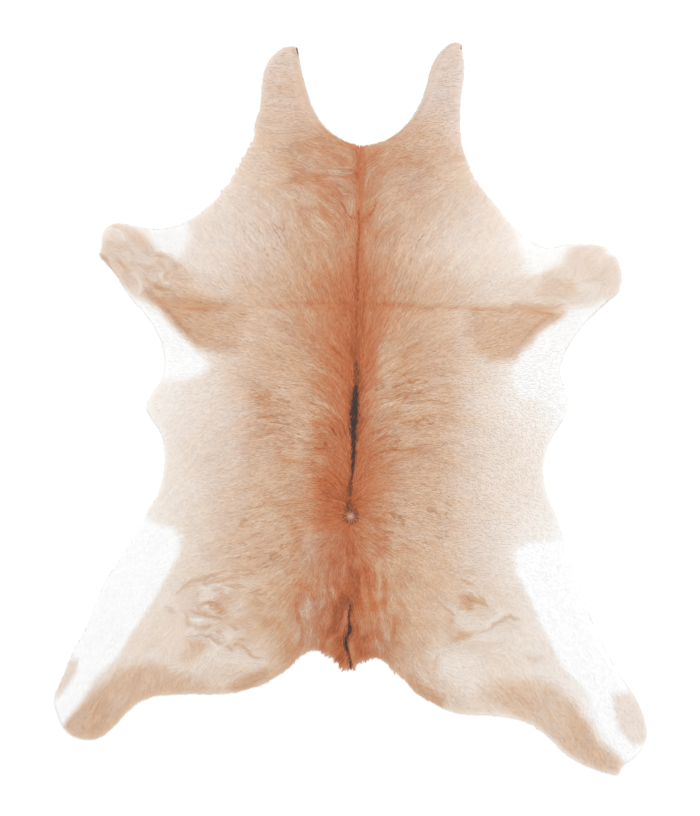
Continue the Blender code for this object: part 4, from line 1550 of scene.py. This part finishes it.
def laid_along(places, headings, rng):
    """Fine hairs on top of the coat, centred on places and headed as given."""
    length = LINE_HAIR_LENGTH * rng.uniform(*LINE_LENGTH_SPREAD, len(places))
    root = places - 0.5 * length[:, None] * headings
    stand = LINE_STAND + rng.uniform(-LINE_STAND_SPREAD, LINE_STAND_SPREAD, len(places))

    def own_heading(x, y):
        """Each hair's own heading, wherever it is read."""
        return headings.T

    return lock_shapes(*root.T, own_heading, length, LINE_HAIR_WIDTH, stand, rng)


def shifted_tones(points, shift):
    """The tone of the coat at each point, moved, but not below the darkest brown."""
    return np.maximum(read_net(tones, points[..., 0], points[..., 1]) + shift, DARKEST_BROWN)


thin_curls = [(shift, stroke) for shift, stroke in curls if stroke[:, 2].max() < WIDEST_LINE]
thin_partings = [(goal, stroke) for goal, stroke in partings if stroke[:, 2].max() < WIDEST_LINE]
places, headings, shifts = line_hairs(thin_curls, 1.0, rng)
along_curls = laid_along(places, headings, rng)
curl_tones = shifted_tones(along_curls, CURL_HAIR_SHIFT * shifts[:, None])
# Hairs painted darker as shade in the wrinkles, and paler as a highlight on the ripple crests.
shaded_wrinkle_hairs = laid_along(*hairs_where(wrinkled, WRINKLE_LEAST, rng), rng)
highlit_ripple_hairs = laid_along(*hairs_where(rippled, RIPPLE_LEAST, rng), rng)
wrinkle_shade_tones = shifted_tones(shaded_wrinkle_hairs, WRINKLE_HAIR_SHADE_SHIFT)
ripple_highlight_tones = shifted_tones(highlit_ripple_hairs, RIPPLE_HAIR_HIGHLIGHT)
places, headings, goals = line_hairs(thin_partings, PARTING_WANDER_SHARE, rng)
along_partings = laid_along(places, headings, rng)
parting_tones = goals[:, None] + rng.normal(0.0, PARTING_TONE_SPREAD, (len(goals), 1))
parting_tones = np.repeat(parting_tones, LOCK_POINTS, axis=1)
angle = rng.uniform(0.0, 2 * np.pi, WHORL_HAIRS)
headings = np.column_stack([np.cos(angle), np.sin(angle)])
far = WHORL_REACH * rng.uniform(0.0, 1.0, WHORL_HAIRS)
places = np.array(WHORL_MM) * MM + far[:, None] * headings
round_whorl = laid_along(places, headings, rng)
whorl_far = np.linalg.norm(round_whorl[..., :2] - np.array(WHORL_MM) * MM, axis=-1)
whorl_tones = np.interp(whorl_far, WHORL_SPAN, WHORL_TONES)
whorl_tones = whorl_tones + rng.normal(0.0, WHORL_TONE_SPREAD, (WHORL_HAIRS, 1))
# Grey hairs just inside the rim: a painted shadow along the edge of the white hair.
rim_shadow_hairs = laid_along(*rim_shadow_places(rng), rng)
rim_shadow_tones = RIM_SHADOW_TONE + rng.normal(0.0, RIM_SHADOW_TONE_SPREAD, rim_shadow_hairs.shape[:2])
# The fine hairs: coat marks, and painted shade and highlight in the wrinkles, on the ripples and along the
# rim.
fine_hair_groups = (
    (along_curls, curl_tones, 1.0),
    (shaded_wrinkle_hairs, wrinkle_shade_tones, WRINKLE_HAIR_PAINTED_SHADE),
    (highlit_ripple_hairs, ripple_highlight_tones, 1.0),
    (along_partings, parting_tones, 1.0),
    (round_whorl, whorl_tones, 1.0),
    (rim_shadow_hairs, rim_shadow_tones, RIM_SHADOW_DARKENING),
)
coat.append(coat_piece(
    "coat_marks_and_shade_hairs",
    np.concatenate([hairs for hairs, _, _ in fine_hair_groups]),
    np.clip(np.concatenate([tone for _, tone, _ in fine_hair_groups]), BLACKEST, WHITEST),
    np.concatenate([np.full(len(hairs), shade) for hairs, _, shade in fine_hair_groups]),
    short_hair,
))
